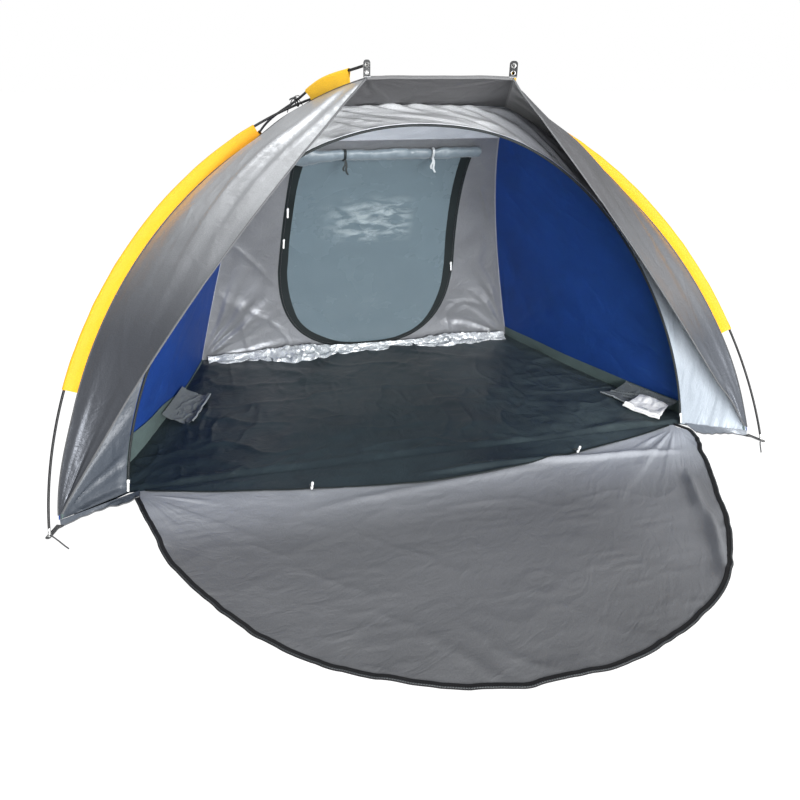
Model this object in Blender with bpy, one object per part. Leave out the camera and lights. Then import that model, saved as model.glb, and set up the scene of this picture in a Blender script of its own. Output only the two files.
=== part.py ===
"""Beach tent with a front hoop, two side poles that cross it, and a door that lies open on the ground.

Units are metres, +Z is up and the doorway faces -Y. Places are worked out from the middle of the sill, and the
whole tent then moves so that its origin is at the middle of its footprint. Left is -X, right is +X.
"""

import math

import bmesh
import bpy
import numpy as np

# Ground sheet
FLOOR_REAR_WIDTH = 1.532
FLOOR_DEPTH = 1.082
FLOOR_SIDE_IN = 0.257
FLOOR_SIDE_HANDLE_Y = 0.200
FLOOR_THICKNESS = 0.0012
FLOOR_OVERHANG = 0.003
REAR_LIP_DEPTH = 0.085
REAR_LIP_HEIGHT = 0.034
REAR_LIP_END_GAP = 0.030
REAR_LIP_CRINKLE = 0.0035
REAR_LIP_PITCH = 0.070
REAR_LIP_FOLD_SHARES = (0.45, 0.30)

# Front hoop: a leaning arch of one fibreglass pole
HOOP_HALF_SPAN = 1.237
HOOP_HEIGHT = 1.217
HOOP_FOOT_AHEAD = 0.193
HOOP_LEAN_SHARE = 0.525
HOOP_ROUNDNESS_SHARE = 1.881
HOOP_CENTRE_HEIGHT = 0.350
FLOOR_SIDE_HANDLE_X = HOOP_HALF_SPAN - FLOOR_SIDE_IN

# Side poles and the seams under them, from the rear corner to the brim
BRIM_WIDTH = 0.446
BRIM_SETBACK = 0.046
BRIM_RISE = 0.020
BRIM_HEIGHT = HOOP_HEIGHT + BRIM_RISE
REAR_LEG_LEAN_IN = 0.235
REAR_LEG_LEAN_AHEAD = 0.060
REAR_LEG_RISE_SHARE = 0.7785
SHOULDER_OUT = 0.222
SHOULDER_BACK_SHARE = 0.4115
SHOULDER_DROP = 0.112
TENT_CENTRE_Y = 0.410
TENT_CENTRE_HEIGHT = 0.350
POLE_STACK = 0.0118
TIE_BLEND_SHARE = 0.16
TAB_BLEND_SHARE = 0.80

# Cloth
CLOTH = 0.0010
CLEARANCE = 0.0004
PANEL_INSET = 0.0015
WEB_TIP_GAP = 0.0009
FRONT_WALL_SETBACK = 0.0040
WALL_BASE_GAP = 0.0004
FOOT_CORNER_HEIGHT = 0.021
FOOT_CORNER_IN = 0.020
FOOT_CORNER_BACK = 0.044
HEM_INSET_OUT = 0.030
HEM_INSET_BACK = 0.060
HEM_INSET_UP = 0.055
ROOF_CROWN = 0.010
ROOF_SAG = 0.012
AWNING_SAG = 0.004
SIDE_WALL_DRAW = 0.012
WING_DRAW = 0.010
HEADER_FOLD = 0.0050
SIDE_FOLD = 0.0040

# Sleeves of the poles
SLEEVE_WIDTH = 0.040
SHORT_SLEEVE_WIDTH = 0.045
SLEEVE_FOOT_HEIGHT = 0.342
TIE_GAP = 0.090
TAB_GAP = 0.085
SLEEVE_BORE_RADIUS = 0.0060
SLEEVE_TUBE_RADIUS = 0.0072
WEB_THICKNESS = 0.0014

# Fibreglass poles, ferrules, tips and shock cords
POLE_RADIUS = 0.00395
POLE_BORE_RADIUS = 0.0019
SECTION_GAP = 0.0006
FERRULE_LENGTH = 0.060
FERRULE_RADIUS = 0.0054
FERRULE_BORE_RADIUS = 0.0046
TIP_LENGTH = 0.024
TIP_POINT_LENGTH = 0.004
TIP_POINT_SHARE = 0.6
TIP_PLUG = 0.012
TIP_GROUND_GAP = 0.0015
SHOCK_CORD_RADIUS = 0.0010

# Straps and tabs of black webbing, with metal eyelets
STRAP_WIDTH = 0.025
STRAP_THICKNESS = 0.0015
STRAP_HEIGHT = 0.0055
STRAP_TAIL = 0.014
EYELET_CLEARANCE = 0.0008
TAB_WIDTH = 0.024
TAB_HEIGHT = 0.043
TAB_LIFT = 0.0030
TAB_EYELET_LOW = 0.011
TAB_EYELET_HIGH = 0.031

# Doorway, its zip and the door on the ground
ARCH_FOOT_IN = 0.211
ARCH_BELOW_HOOP = 0.105
ARCH_HALF_WIDTH = HOOP_HALF_SPAN - ARCH_FOOT_IN
ARCH_HEIGHT = HOOP_HEIGHT - ARCH_BELOW_HOOP
ARCH_LEAN_SHARE = 0.168
ARCH_ROUNDNESS_SHARE = 1.592
ARCH_TAPE_WIDTH = 0.014
ARCH_TAPE_THICKNESS = 0.0018
ARCH_TAPE_GAP = 0.0010
ARCH_FOOT_LIFT = 0.0030
DOOR_SHORTFALL = 0.077
DOOR_EDGE_IN = 0.026
DOOR_SPAN = ARCH_HEIGHT - DOOR_SHORTFALL
DOOR_HALF_WIDTH = ARCH_HALF_WIDTH - DOOR_EDGE_IN
DOOR_ROOT_GAP = 0.0004
DOOR_CLOTH = 0.0012
DOOR_TAPE_WIDTH = 0.014
DOOR_TAPE_THICKNESS = 0.0025
DOOR_WAVE = 0.010
DOOR_WAVE_PITCH_X = 0.340
DOOR_WAVE_PITCH_Y = 0.260
DOOR_WAVE_START = 0.200
DOOR_HINGE_HEIGHT = 0.0040
APRON_DEPTH = 0.177
APRON_END_IN = 0.036
APRON_HALF_WIDTH = ARCH_HALF_WIDTH - APRON_END_IN
APRON_BOW_SHARES = (1.5, 0.9)
APRON_END_SHARE = 0.97
APRON_THICKNESS = 0.0010
APRON_LIFT = 0.0004
TOGGLE_SHARES = (-0.4535, 0.5212)
TOGGLE_LENGTH = 0.030
TOGGLE_RADIUS = 0.0045

# Rear window
WINDOW_HALF_WIDTH = 0.412
BACK_WALL_BELOW_HOOP = 0.207
BACK_WALL_TOP = HOOP_HEIGHT - BACK_WALL_BELOW_HOOP
WINDOW_HEADER = 0.080
WINDOW_TOP = BACK_WALL_TOP - WINDOW_HEADER
WINDOW_MIDDLE_SHARE = 0.4516
WINDOW_MIDDLE = WINDOW_TOP * WINDOW_MIDDLE_SHARE
WINDOW_BOTTOM = 0.022
WINDOW_TOP_NARROWING = 0.052
WINDOW_CENTRE_X = 0.018
WINDOW_ROUNDNESS_SHARE = 2.6
WINDOW_TAPE_WIDTH = 0.018
WINDOW_TAPE_THICKNESS = 0.0014
WINDOW_FILM = 0.0008
CUTTER_REACH = 0.400
ROLL_RADIUS = 0.019
ROLL_END_IN = 0.057
ROLL_HALF_LENGTH = WINDOW_HALF_WIDTH - ROLL_END_IN
ROLL_SWELL = 0.0014
ROLL_END_SHARE = 0.8
ROLL_TIE_X = (-0.157, 0.195)
ROLL_TIE_WIDTH = 0.010
ROLL_TIE_THICKNESS = 0.0006
SLOPE_STEP = 0.020

# Zip sliders and their pulls
SLIDER_LENGTH = 0.014
SLIDER_WIDTH = 0.009
SLIDER_THICKNESS = 0.0030
SLIDER_LIFT = 0.0008
PULL_LENGTH = 0.034
PULL_WIDTH = 0.007
PULL_THICKNESS = 0.0012
PULL_GAP = 0.0005
DOOR_SLIDER_HEIGHT = 0.040
DOOR_SLIDE_TRAVEL = 0.040
WINDOW_SLIDE_TRAVEL = 0.100
WINDOW_SLIDER_SHARES = (
    ("upper", -1, 0.770),
    ("middle", -1, 0.614),
    ("lower", 1, 0.443),
)

# Cord ties at the pole crossings
TIE_CORD_RADIUS = 0.0013
TIE_LOOP_LENGTH = 0.034
TIE_LOOP_WIDTH = 0.009
TIE_TAIL = 0.034

# Storage pockets on the side walls
POCKET_DEPTH = 0.120
POCKET_HEIGHT = 0.085
POCKET_THICKNESS = 0.0008
POCKET_SPAN_LEFT = (0.440, 0.680)
POCKET_SPAN_RIGHT = (0.090, 0.310)
POCKET_WALL_GAP = 0.0060

# Counts
HOOP_SECTION_COUNT = 4
SIDE_SECTION_COUNT = 2
TUBE_SIDES = 8
LOWER_STEPS = 3
SLEEVE_STEPS = 8
ROOF_STEPS = 10
COLUMN_STEPS = 6
APRON_STEPS = 16
POINT_SHARE = 0.82
STEEP_SHARE = 0.9


def smooth(value, low, high):
    """Zero below low, one above high, and a soft step between them."""
    share = min(max((value - low) / (high - low), 0.0), 1.0)
    return share * share * (3.0 - 2.0 * share)


def unit(vector):
    return np.asarray(vector, float) / np.linalg.norm(vector)


def mirror(points):
    """The same points on the other side of the tent."""
    return np.asarray(points, float) * np.array([-1.0, 1.0, 1.0])


def bezier(handles, share):
    """A point of the Bezier curve through the first and last handle."""
    points = [np.asarray(handle, float) for handle in handles]
    while len(points) > 1:
        points = [a + (b - a) * share for a, b in zip(points, points[1:])]
    return points[0]


def tangents(points):
    """Unit directions along a polyline, at its points."""
    points = np.asarray(points, float)
    steps = np.diff(points, axis=0)
    steps = steps / np.linalg.norm(steps, axis=1)[:, None]
    along = np.vstack([steps[:1], steps[:-1] + steps[1:], steps[-1:]])
    return along / np.linalg.norm(along, axis=1)[:, None]


class Path:
    """A polyline that can be cut at any distance along it."""

    def __init__(self, points):
        self.points = np.asarray(points, float)
        steps = np.linalg.norm(np.diff(self.points, axis=0), axis=1)
        self.at = np.concatenate([[0.0], np.cumsum(steps)])
        self.length = self.at[-1]

    def point(self, distance):
        return np.array([np.interp(distance, self.at, self.points[:, axis]) for axis in range(3)])

    def cut(self, start, end):
        """The stretch from start to end, with the polyline's own points between them."""
        inner = [p for p, at in zip(self.points, self.at) if start < at < end]
        return np.array([self.point(start), *inner, self.point(end)])


# The frame's curves, on the right side


def hoop_point(angle):
    """A point of the hoop's centreline; the angle is zero at the foot and a right angle at the top."""
    power = 2.0 / HOOP_ROUNDNESS_SHARE
    height = HOOP_HEIGHT * max(math.sin(angle), 0.0) ** power
    out = HOOP_HALF_SPAN * max(math.cos(angle), 0.0) ** power
    return np.array([out, HOOP_LEAN_SHARE * height - HOOP_FOOT_AHEAD, height])


def hoop_angle(height):
    """The hoop's angle at a height."""
    return math.asin((height / HOOP_HEIGHT) ** (HOOP_ROUNDNESS_SHARE / 2.0))


REAR_CORNER = np.array([FLOOR_REAR_WIDTH / 2, FLOOR_DEPTH, FLOOR_THICKNESS + WALL_BASE_GAP])
BRIM_CORNER = np.array([BRIM_WIDTH / 2, BRIM_SETBACK, BRIM_HEIGHT])
SIDE_HANDLES = (
    REAR_CORNER,
    REAR_CORNER + np.array([-REAR_LEG_LEAN_IN, -REAR_LEG_LEAN_AHEAD, BRIM_HEIGHT * REAR_LEG_RISE_SHARE]),
    BRIM_CORNER + np.array([SHOULDER_OUT, BRIM_HEIGHT * SHOULDER_BACK_SHARE, -SHOULDER_DROP]),
    BRIM_CORNER,
)
TENT_CENTRE = np.array([0.0, TENT_CENTRE_Y, TENT_CENTRE_HEIGHT])


def find_crossing():
    """Where the side seam runs closest to the hoop: the seam's share and the hoop's angle."""
    shares = np.linspace(0.5, 0.95, 181)
    angles = np.radians(np.linspace(50.0, 85.0, 281))
    seam = np.array([bezier(SIDE_HANDLES, share) for share in shares])
    hoop = np.array([hoop_point(angle) for angle in angles])
    gaps = np.linalg.norm(seam[:, None] - hoop[None], axis=2)
    best = np.unravel_index(gaps.argmin(), gaps.shape)
    return shares[best[0]], angles[best[1]]


CROSSING_SHARE, CROSSING_ANGLE = find_crossing()
CROSSING_SEAM = bezier(SIDE_HANDLES, CROSSING_SHARE)
CROSSING_HOOP = hoop_point(CROSSING_ANGLE)
FOOT_ANGLE = hoop_angle(FOOT_CORNER_HEIGHT)


def hoop_stretch(start, end):
    """The hoop's length between two angles."""
    points = np.array([hoop_point(angle) for angle in np.linspace(start, end, 60)])
    return np.linalg.norm(np.diff(points, axis=0), axis=1).sum()


def share_samples():
    """Shares of the way from foot to crossing at which all the cloth and poles have their points."""
    rise = CROSSING_ANGLE - FOOT_ANGLE
    low = (hoop_angle(SLEEVE_FOOT_HEIGHT) - FOOT_ANGLE) / rise
    high = 1.0
    while hoop_stretch(FOOT_ANGLE + high * rise, CROSSING_ANGLE) < TIE_GAP:
        high -= 0.002
    lower = np.linspace(0.0, low, LOWER_STEPS + 1)
    upper = np.linspace(low, high, SLEEVE_STEPS + 1)[1:]
    last = high + (1.0 - high) / 2
    return np.concatenate([lower, upper, [last, 1.0]])


RISE_SHARES = share_samples()
SLEEVE_FIRST = LOWER_STEPS
SLEEVE_LAST = LOWER_STEPS + SLEEVE_STEPS


def hoop_seam_point(share):
    """A point of the seam that joins the cloth under the hoop, beside the pole."""
    angle = FOOT_ANGLE + (CROSSING_ANGLE - FOOT_ANGLE) * share
    pole = hoop_point(angle)
    centre = np.array([0.0, HOOP_LEAN_SHARE * HOOP_CENTRE_HEIGHT - HOOP_FOOT_AHEAD, HOOP_CENTRE_HEIGHT])
    step = math.radians(0.5)
    along = unit(hoop_point(angle + step) - hoop_point(max(angle - step, 0.0)))
    inward = centre - pole
    inward = unit(inward - along * (inward @ along))
    foot = 1.0 - smooth(share, 0.0, RISE_SHARES[SLEEVE_FIRST])
    top = smooth(share, RISE_SHARES[SLEEVE_LAST - 1], 1.0)
    foot_offset = np.array([-FOOT_CORNER_IN, FOOT_CORNER_BACK, 0.0])
    middle = inward * SLEEVE_WIDTH * (1.0 - foot) + foot_offset * foot
    return pole + middle * (1.0 - top) + (CROSSING_SEAM - CROSSING_HOOP) * top


def side_pole_point(share):
    """A point of the side pole's centreline, outside the side seam."""
    seam = bezier(SIDE_HANDLES, share)
    step = 0.01
    low, high = max(share - step, 0.0), min(share + step, 1.0)
    along = unit(bezier(SIDE_HANDLES, high) - bezier(SIDE_HANDLES, low))
    outward = seam - TENT_CENTRE
    outward = unit(outward - along * (outward @ along))
    hoop_along = tangents([hoop_point(CROSSING_ANGLE - step), hoop_point(CROSSING_ANGLE + step)])[0]
    across = unit(np.cross(hoop_along, along))
    if across[2] < 0:
        across = -across
    at_crossing = CROSSING_HOOP - CROSSING_SEAM + across * POLE_STACK
    reach = SLEEVE_WIDTH if share < CROSSING_SHARE else SHORT_SLEEVE_WIDTH
    near = 1.0 - smooth(abs(share - CROSSING_SHARE), 0.0, TIE_BLEND_SHARE)
    tab = smooth(share, TAB_BLEND_SHARE, 1.0)
    tab_offset = np.array([0.0, 0.0, TAB_LIFT + TAB_EYELET_HIGH])
    free = outward * reach * (1.0 - tab) + tab_offset * tab
    return seam + free * (1.0 - near) + at_crossing * near


def brim_samples():
    """Shares along the side seam from the crossing to the brim."""
    points = np.array([side_pole_point(s) for s in np.linspace(CROSSING_SHARE, 1.0, 60)])
    length = np.linalg.norm(np.diff(points, axis=0), axis=1).sum()
    first, last = TIE_GAP / length, 1.0 - TAB_GAP / length
    shares = [0.0, first, *np.linspace(first, last, 4)[1:], 1.0]
    return CROSSING_SHARE + (1.0 - CROSSING_SHARE) * np.array(shares)


BRIM_SHARES = brim_samples()
HOOP_ANGLES = FOOT_ANGLE + (CROSSING_ANGLE - FOOT_ANGLE) * RISE_SHARES
HOOP_RISE = np.array([hoop_point(angle) for angle in HOOP_ANGLES])
HOOP_SEAM = np.array([hoop_seam_point(share) for share in RISE_SHARES])
SIDE_SEAM_RISE = np.array([bezier(SIDE_HANDLES, CROSSING_SHARE * share) for share in RISE_SHARES])
SIDE_POLE_RISE = np.array([side_pole_point(CROSSING_SHARE * share) for share in RISE_SHARES])
SIDE_SEAM_BRIM = np.array([bezier(SIDE_HANDLES, share) for share in BRIM_SHARES])
SIDE_POLE_BRIM = np.array([side_pole_point(share) for share in BRIM_SHARES])
FOOT_CORNER = HOOP_SEAM[0]

# The hoop over the roof and the roof seam below it, from left to right
ROOF_ANGLES = np.linspace(math.pi - CROSSING_ANGLE, CROSSING_ANGLE, ROOF_STEPS + 1)
HOOP_ROOF = np.array([hoop_point(a) if a <= math.pi / 2 else mirror(hoop_point(math.pi - a)) for a in ROOF_ANGLES])
ROOF_CROSS = np.linspace(-1.0, 1.0, ROOF_STEPS + 1)
ROOF_SEAM = np.array(
    [[CROSSING_SEAM[0] * s, CROSSING_SEAM[1], CROSSING_SEAM[2] + ROOF_CROWN * (1.0 - s * s)] for s in ROOF_CROSS]
)


def hoop_path():
    """The whole hoop from the left foot to the right foot."""
    start = hoop_point(hoop_angle(TIP_GROUND_GAP))
    right = np.vstack([start, HOOP_RISE])
    return Path(np.vstack([mirror(right), HOOP_ROOF[1:-1], right[::-1]]))


def side_path():
    """The right side pole from its rear foot to the brim's eyelet."""
    foot = SIDE_POLE_RISE[0].copy()
    foot[2] = TIP_GROUND_GAP
    last = SIDE_POLE_BRIM[-1]
    past = last + unit(last - SIDE_POLE_BRIM[-2]) * (TIP_LENGTH / 2)
    return Path(np.vstack([foot, SIDE_POLE_RISE[1:], SIDE_POLE_BRIM[1:-1], past]))


# Materials


def material(name, colour, roughness, metallic=0.0, alpha=1.0):
    """A Principled material with one colour."""
    made = bpy.data.materials.new(name)
    made.use_nodes = True
    shader = made.node_tree.nodes["Principled BSDF"]
    shader.inputs["Base Color"].default_value = (*colour, 1.0)
    shader.inputs["Roughness"].default_value = roughness
    shader.inputs["Metallic"].default_value = metallic
    shader.inputs["Alpha"].default_value = alpha
    made.diffuse_color = (*colour, 1.0)
    return made


def make_materials():
    """One material for each kind of surface."""
    return {
        "grey_cloth": material("grey_cloth", (0.36, 0.37, 0.39), 0.55),
        "blue_cloth": material("blue_cloth", (0.02, 0.05, 0.19), 0.6),
        "yellow_cloth": material("yellow_cloth", (0.95, 0.62, 0.05), 0.55),
        "tarpaulin": material("tarpaulin", (0.02, 0.03, 0.035), 0.4),
        "silver_foil": material("silver_foil", (0.62, 0.63, 0.64), 0.25, 0.8),
        "window_film": material("window_film", (0.30, 0.38, 0.42), 0.3, 0.0, 0.6),
        "flap_cloth": material("flap_cloth", (0.33, 0.42, 0.42), 0.5),
        "zip_tape": material("zip_tape", (0.01, 0.012, 0.012), 0.6),
        "webbing": material("webbing", (0.012, 0.012, 0.012), 0.7),
        "fibreglass": material("fibreglass", (0.012, 0.012, 0.013), 0.35),
        "white_plastic": material("white_plastic", (0.85, 0.85, 0.83), 0.4),
        "cord": material("cord", (0.015, 0.015, 0.015), 0.7),
        "pocket_mesh": material("pocket_mesh", (0.25, 0.27, 0.29), 0.5),
    }


# Mesh builders


def add_mesh(name, bm, surface, parent):
    """Turn a bmesh into a named object with outward faces."""
    bmesh.ops.recalc_face_normals(bm, faces=bm.faces)
    mesh = bpy.data.meshes.new(name)
    bm.to_mesh(mesh)
    bm.free()
    mesh.materials.append(surface)
    made = bpy.data.objects.new(name, mesh)
    made.parent = parent
    bpy.context.collection.objects.link(made)
    return made


def grid_normals(grid):
    """Unit normals at the points of a grid of points."""
    down = np.gradient(grid, axis=0)
    across = np.gradient(grid, axis=1)
    normals = np.cross(down, across)
    return normals / np.maximum(np.linalg.norm(normals, axis=2), 1e-12)[:, :, None]


def add_sheet(bm, grid, thickness):
    """Add a closed sheet of even thickness round a grid of points."""
    rows, columns = grid.shape[:2]
    normals = grid_normals(grid)
    sides = []
    for sign in (0.5, -0.5):
        points = grid + normals * thickness * sign
        sides.append([[bm.verts.new(points[i, j]) for j in range(columns)] for i in range(rows)])
    top, bottom = sides
    for i in range(rows - 1):
        for j in range(columns - 1):
            for side in sides:
                bm.faces.new((side[i][j], side[i + 1][j], side[i + 1][j + 1]))
                bm.faces.new((side[i][j], side[i + 1][j + 1], side[i][j + 1]))
    rim = [(i, 0) for i in range(rows)]
    rim += [(rows - 1, j) for j in range(1, columns)]
    rim += [(i, columns - 1) for i in range(rows - 2, -1, -1)]
    rim += [(0, j) for j in range(columns - 2, 0, -1)]
    for (i, j), (k, l) in zip(rim, rim[1:] + rim[:1]):
        bm.faces.new((top[i][j], top[k][l], bottom[k][l], bottom[i][j]))


def sheet(name, grid, thickness, surface, parent):
    bm = bmesh.new()
    add_sheet(bm, grid, thickness)
    return add_mesh(name, bm, surface, parent)


def inset(grid, distance, rows=(False, False), columns=(False, False)):
    """Draw chosen edges of a grid in towards their neighbours by a distance."""
    moved = grid.copy()
    for last, wanted in enumerate(rows):
        if wanted:
            edge, inner = (-1, -2) if last else (0, 1)
            step = grid[inner] - grid[edge]
            moved[edge] += step / np.linalg.norm(step, axis=1)[:, None] * distance
    base = moved.copy()
    for last, wanted in enumerate(columns):
        if wanted:
            edge, inner = (-1, -2) if last else (0, 1)
            step = base[:, inner] - base[:, edge]
            moved[:, edge] += step / np.linalg.norm(step, axis=1)[:, None] * distance
    return moved


def ring_frames(points):
    """Directions across a polyline that turn with it as little as they can."""
    along = tangents(points)
    start = np.array([0.0, 0.0, 1.0]) if abs(along[0][2]) < STEEP_SHARE else np.array([1.0, 0.0, 0.0])
    first = unit(np.cross(start, along[0]))
    frames = []
    for direction in along:
        first = unit(first - direction * (first @ direction))
        frames.append((first, np.cross(direction, first)))
    return frames


def add_rings(bm, rings):
    """Skin a list of rings of points and cap the ends."""
    made = [[bm.verts.new(point) for point in ring] for ring in rings]
    count = len(made[0])
    for a, b in zip(made, made[1:]):
        for i in range(count):
            j = (i + 1) % count
            bm.faces.new((a[i], a[j], b[j], b[i]))
    bm.faces.new(made[0][::-1])
    bm.faces.new(made[-1])
    return made


def circle(centre, first, second, radius, sides):
    """Points of a ring round a centre."""
    turns = np.arange(sides) * 2.0 * math.pi / sides
    return [centre + radius * (first * math.cos(a) + second * math.sin(a)) for a in turns]


def add_rod(bm, points, radius, sides=TUBE_SIDES):
    """Add a solid round rod along points."""
    frames = ring_frames(points)
    add_rings(bm, [circle(p, a, b, radius, sides) for p, (a, b) in zip(points, frames)])


def add_hollow(bm, outer, inner):
    """Add a tube with a bore; outer and inner are lists of rings with as many points."""
    outside = [[bm.verts.new(p) for p in ring] for ring in outer]
    inside = [[bm.verts.new(p) for p in ring] for ring in inner]
    count = len(outside[0])
    for i in range(count):
        j = (i + 1) % count
        for a, b in zip(outside, outside[1:]):
            bm.faces.new((a[i], a[j], b[j], b[i]))
        for a, b in zip(inside, inside[1:]):
            bm.faces.new((a[j], a[i], b[i], b[j]))
        caps = [
            bm.faces.new((outside[0][j], outside[0][i], inside[0][i], inside[0][j])),
            bm.faces.new((outside[-1][i], outside[-1][j], inside[-1][j], inside[-1][i])),
        ]
        bmesh.ops.triangulate(bm, faces=caps)


def add_tube(bm, points, radius, bore, sides=TUBE_SIDES):
    """Add a round tube with a round bore along points."""
    frames = ring_frames(points)
    outer = [circle(p, a, b, radius, sides) for p, (a, b) in zip(points, frames)]
    inner = [circle(p, a, b, bore, sides) for p, (a, b) in zip(points, frames)]
    add_hollow(bm, outer, inner)


def prism(name, outline, start, end, parent):
    """A hidden cutting block: an outline in X and Z, drawn along Y."""
    bm = bmesh.new()
    rings = [[(x, y, z) for x, z in outline] for y in (start, end)]
    add_rings(bm, rings)
    block = add_mesh(name, bm, parent["surface"], parent["empty"])
    block.display_type = "WIRE"
    block.hide_render = True
    return block


def cut(piece, block, operation):
    """Add an exact Boolean with a cutting block."""
    modifier = piece.modifiers.new(operation.lower(), "BOOLEAN")
    modifier.operation = operation
    modifier.solver = "EXACT"
    modifier.object = block


# Fabric


def floor_side(share):
    """The right edge of the ground sheet, from the rear corner to the foot of the hoop."""
    handle = np.array([FLOOR_SIDE_HANDLE_X, FLOOR_SIDE_HANDLE_Y, REAR_CORNER[2]])
    point = bezier((REAR_CORNER, handle, FOOT_CORNER), share)
    point[2] = REAR_CORNER[2] + (FOOT_CORNER[2] - REAR_CORNER[2]) * smooth(share, 0.8, 1.0)
    return point


def build_floor(mats, tent):
    """The ground sheet: flat, with the shape of the walls' lower edge."""
    side = [floor_side(share) for share in np.linspace(0.0, 1.0, 11)]
    centre = np.array([0.0, FLOOR_DEPTH / 2, 0.0])
    edge = [p + unit((p - centre) * np.array([1.0, 1.0, 0.0])) * FLOOR_OVERHANG for p in side[:-1]]
    edge.append(side[-1] - np.array([FLOOR_OVERHANG, 0.0, 0.0]))
    edge.append(np.array([ARCH_HALF_WIDTH, DOOR_ROOT_GAP, 0.0]))
    edge = [np.array([p[0], p[1], 0.0]) for p in edge]
    outline = edge + [mirror(p) for p in edge[::-1]]
    bm = bmesh.new()
    lower = [bm.verts.new(p) for p in outline]
    upper = [bm.verts.new(p + np.array([0.0, 0.0, FLOOR_THICKNESS])) for p in outline]
    for i in range(len(outline)):
        j = (i + 1) % len(outline)
        bm.faces.new((lower[i], lower[j], upper[j], upper[i]))
    bmesh.ops.triangulate(bm, faces=[bm.faces.new(lower), bm.faces.new(upper)])
    add_mesh("floor_sheet", bm, mats["tarpaulin"], tent)


def build_rear_lip(mats, tent):
    """The crinkled silver edge of the ground sheet, turned up against the back wall."""
    reach = FLOOR_REAR_WIDTH / 2 - REAR_LIP_END_GAP
    steps = 30
    base = FLOOR_THICKNESS + CLEARANCE + CLOTH / 2
    rows = []
    for i in range(steps + 1):
        x = -reach + 2.0 * reach * i / steps
        turn = 2.0 * math.pi * x / REAR_LIP_PITCH
        crinkle = REAR_LIP_CRINKLE * (math.sin(turn) + 0.5 * math.sin(2.3 * turn + 1.0))
        front = FLOOR_DEPTH - REAR_LIP_DEPTH - crinkle
        middle = FLOOR_DEPTH - REAR_LIP_DEPTH * REAR_LIP_FOLD_SHARES[0]
        back = FLOOR_DEPTH - REAR_LIP_DEPTH * REAR_LIP_FOLD_SHARES[1]
        rows.append(
            [
                (x, front, base),
                (x, middle, base + REAR_LIP_HEIGHT * 0.25 + abs(crinkle)),
                (x, back - crinkle, base + REAR_LIP_HEIGHT + crinkle),
            ]
        )
    sheet("floor_rear_lip", np.array(rows), CLOTH, mats["silver_foil"], tent)


def truncated_last(values):
    """The values with the last one drawn back a little, where a panel runs out to a point."""
    last = values[-2] + (values[-1] - values[-2]) * POINT_SHARE
    return np.concatenate([values[:-1], [last]])


def side_wall_grid():
    """The blue wall between the side seam and the hoop's seam."""
    across = np.linspace(0.0, 1.0, COLUMN_STEPS + 1)
    shares = truncated_last(RISE_SHARES)
    rows = []
    for share, rear, front in zip(shares, truncated_last(SIDE_SEAM_RISE), truncated_last(HOOP_SEAM)):
        row = []
        for u in across:
            point = rear + (front - rear) * u
            base = SIDE_SEAM_RISE[0] + (HOOP_SEAM[0] - SIDE_SEAM_RISE[0]) * u
            point = point + (floor_side(u) - base) * (1.0 - share) ** 2
            draw = SIDE_WALL_DRAW * 16.0 * u * (1.0 - u) * share * (1.0 - share)
            row.append(point - np.array([draw, 0.0, 0.0]))
        rows.append(row)
    return np.array(rows)


def hem_point(share):
    """A point of the hood's front hem, from the foot corner to the brim corner."""
    straight = FOOT_CORNER + (BRIM_CORNER - FOOT_CORNER) * share
    bow = 4.0 * share * (1.0 - share)
    return straight + np.array([HEM_INSET_OUT, HEM_INSET_BACK, HEM_INSET_UP]) * bow


def hood_wing_grid():
    """The hood's side, between the hoop's seam, the side seam at the brim and the front hem."""
    count = len(BRIM_SHARES) - 1
    shares = truncated_last(RISE_SHARES[1::-1])[::-1]
    seams = truncated_last(HOOP_SEAM[1::-1])[::-1]
    shares = np.concatenate([shares, RISE_SHARES[2:]])
    seams = np.concatenate([seams, HOOP_SEAM[2:]])
    rows = []
    for share, seam in zip(shares, seams):
        hem = hem_point(share)
        row = []
        for j in range(count + 1):
            u = j / count
            point = hem + (seam - hem) * u
            top = BRIM_CORNER + (CROSSING_SEAM - BRIM_CORNER) * u
            point = point + (SIDE_SEAM_BRIM[count - j] - top) * share
            draw = WING_DRAW * 16.0 * u * (1.0 - u) * share * (1.0 - share)
            row.append(point - np.array([draw, -draw, 0.0]))
        rows.append(row)
    return np.array(rows)


def arch_point(turn):
    """A point of the doorway's arch; the turn is -1 at the left foot and 1 at the right foot."""
    out = math.sin(turn * math.pi / 2)
    height = ARCH_HEIGHT * max(1.0 - out * out, 0.0) ** (1.0 / ARCH_ROUNDNESS_SHARE)
    height = max(height, ARCH_FOOT_LIFT)
    return np.array([ARCH_HALF_WIDTH * out, ARCH_LEAN_SHARE * height, height])


def arch_turns():
    """Turns of the arch that match the points of the hoop's seam and of the roof seam."""
    shoulder = math.asin(CROSSING_SEAM[0] / ARCH_HALF_WIDTH) / (math.pi / 2)
    right = 1.0 - (1.0 - shoulder) * RISE_SHARES
    middle = shoulder * ROOF_CROSS[1:-1]
    return np.concatenate([-right, middle, right[::-1]])


def arch_edges(distance):
    """The arch moved in its own plane, away from the doorway, by a distance."""
    points = np.array([arch_point(turn) for turn in arch_turns()])
    along = tangents(points)
    facing = unit([0.0, -1.0, ARCH_LEAN_SHARE])
    outward = np.cross(along, facing)
    outward = outward / np.linalg.norm(outward, axis=1)[:, None]
    if outward[len(points) // 2][2] < 0:
        outward = -outward
    moved = points + outward * distance
    moved[0][2] = moved[-1][2] = ARCH_FOOT_LIFT
    return moved


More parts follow.
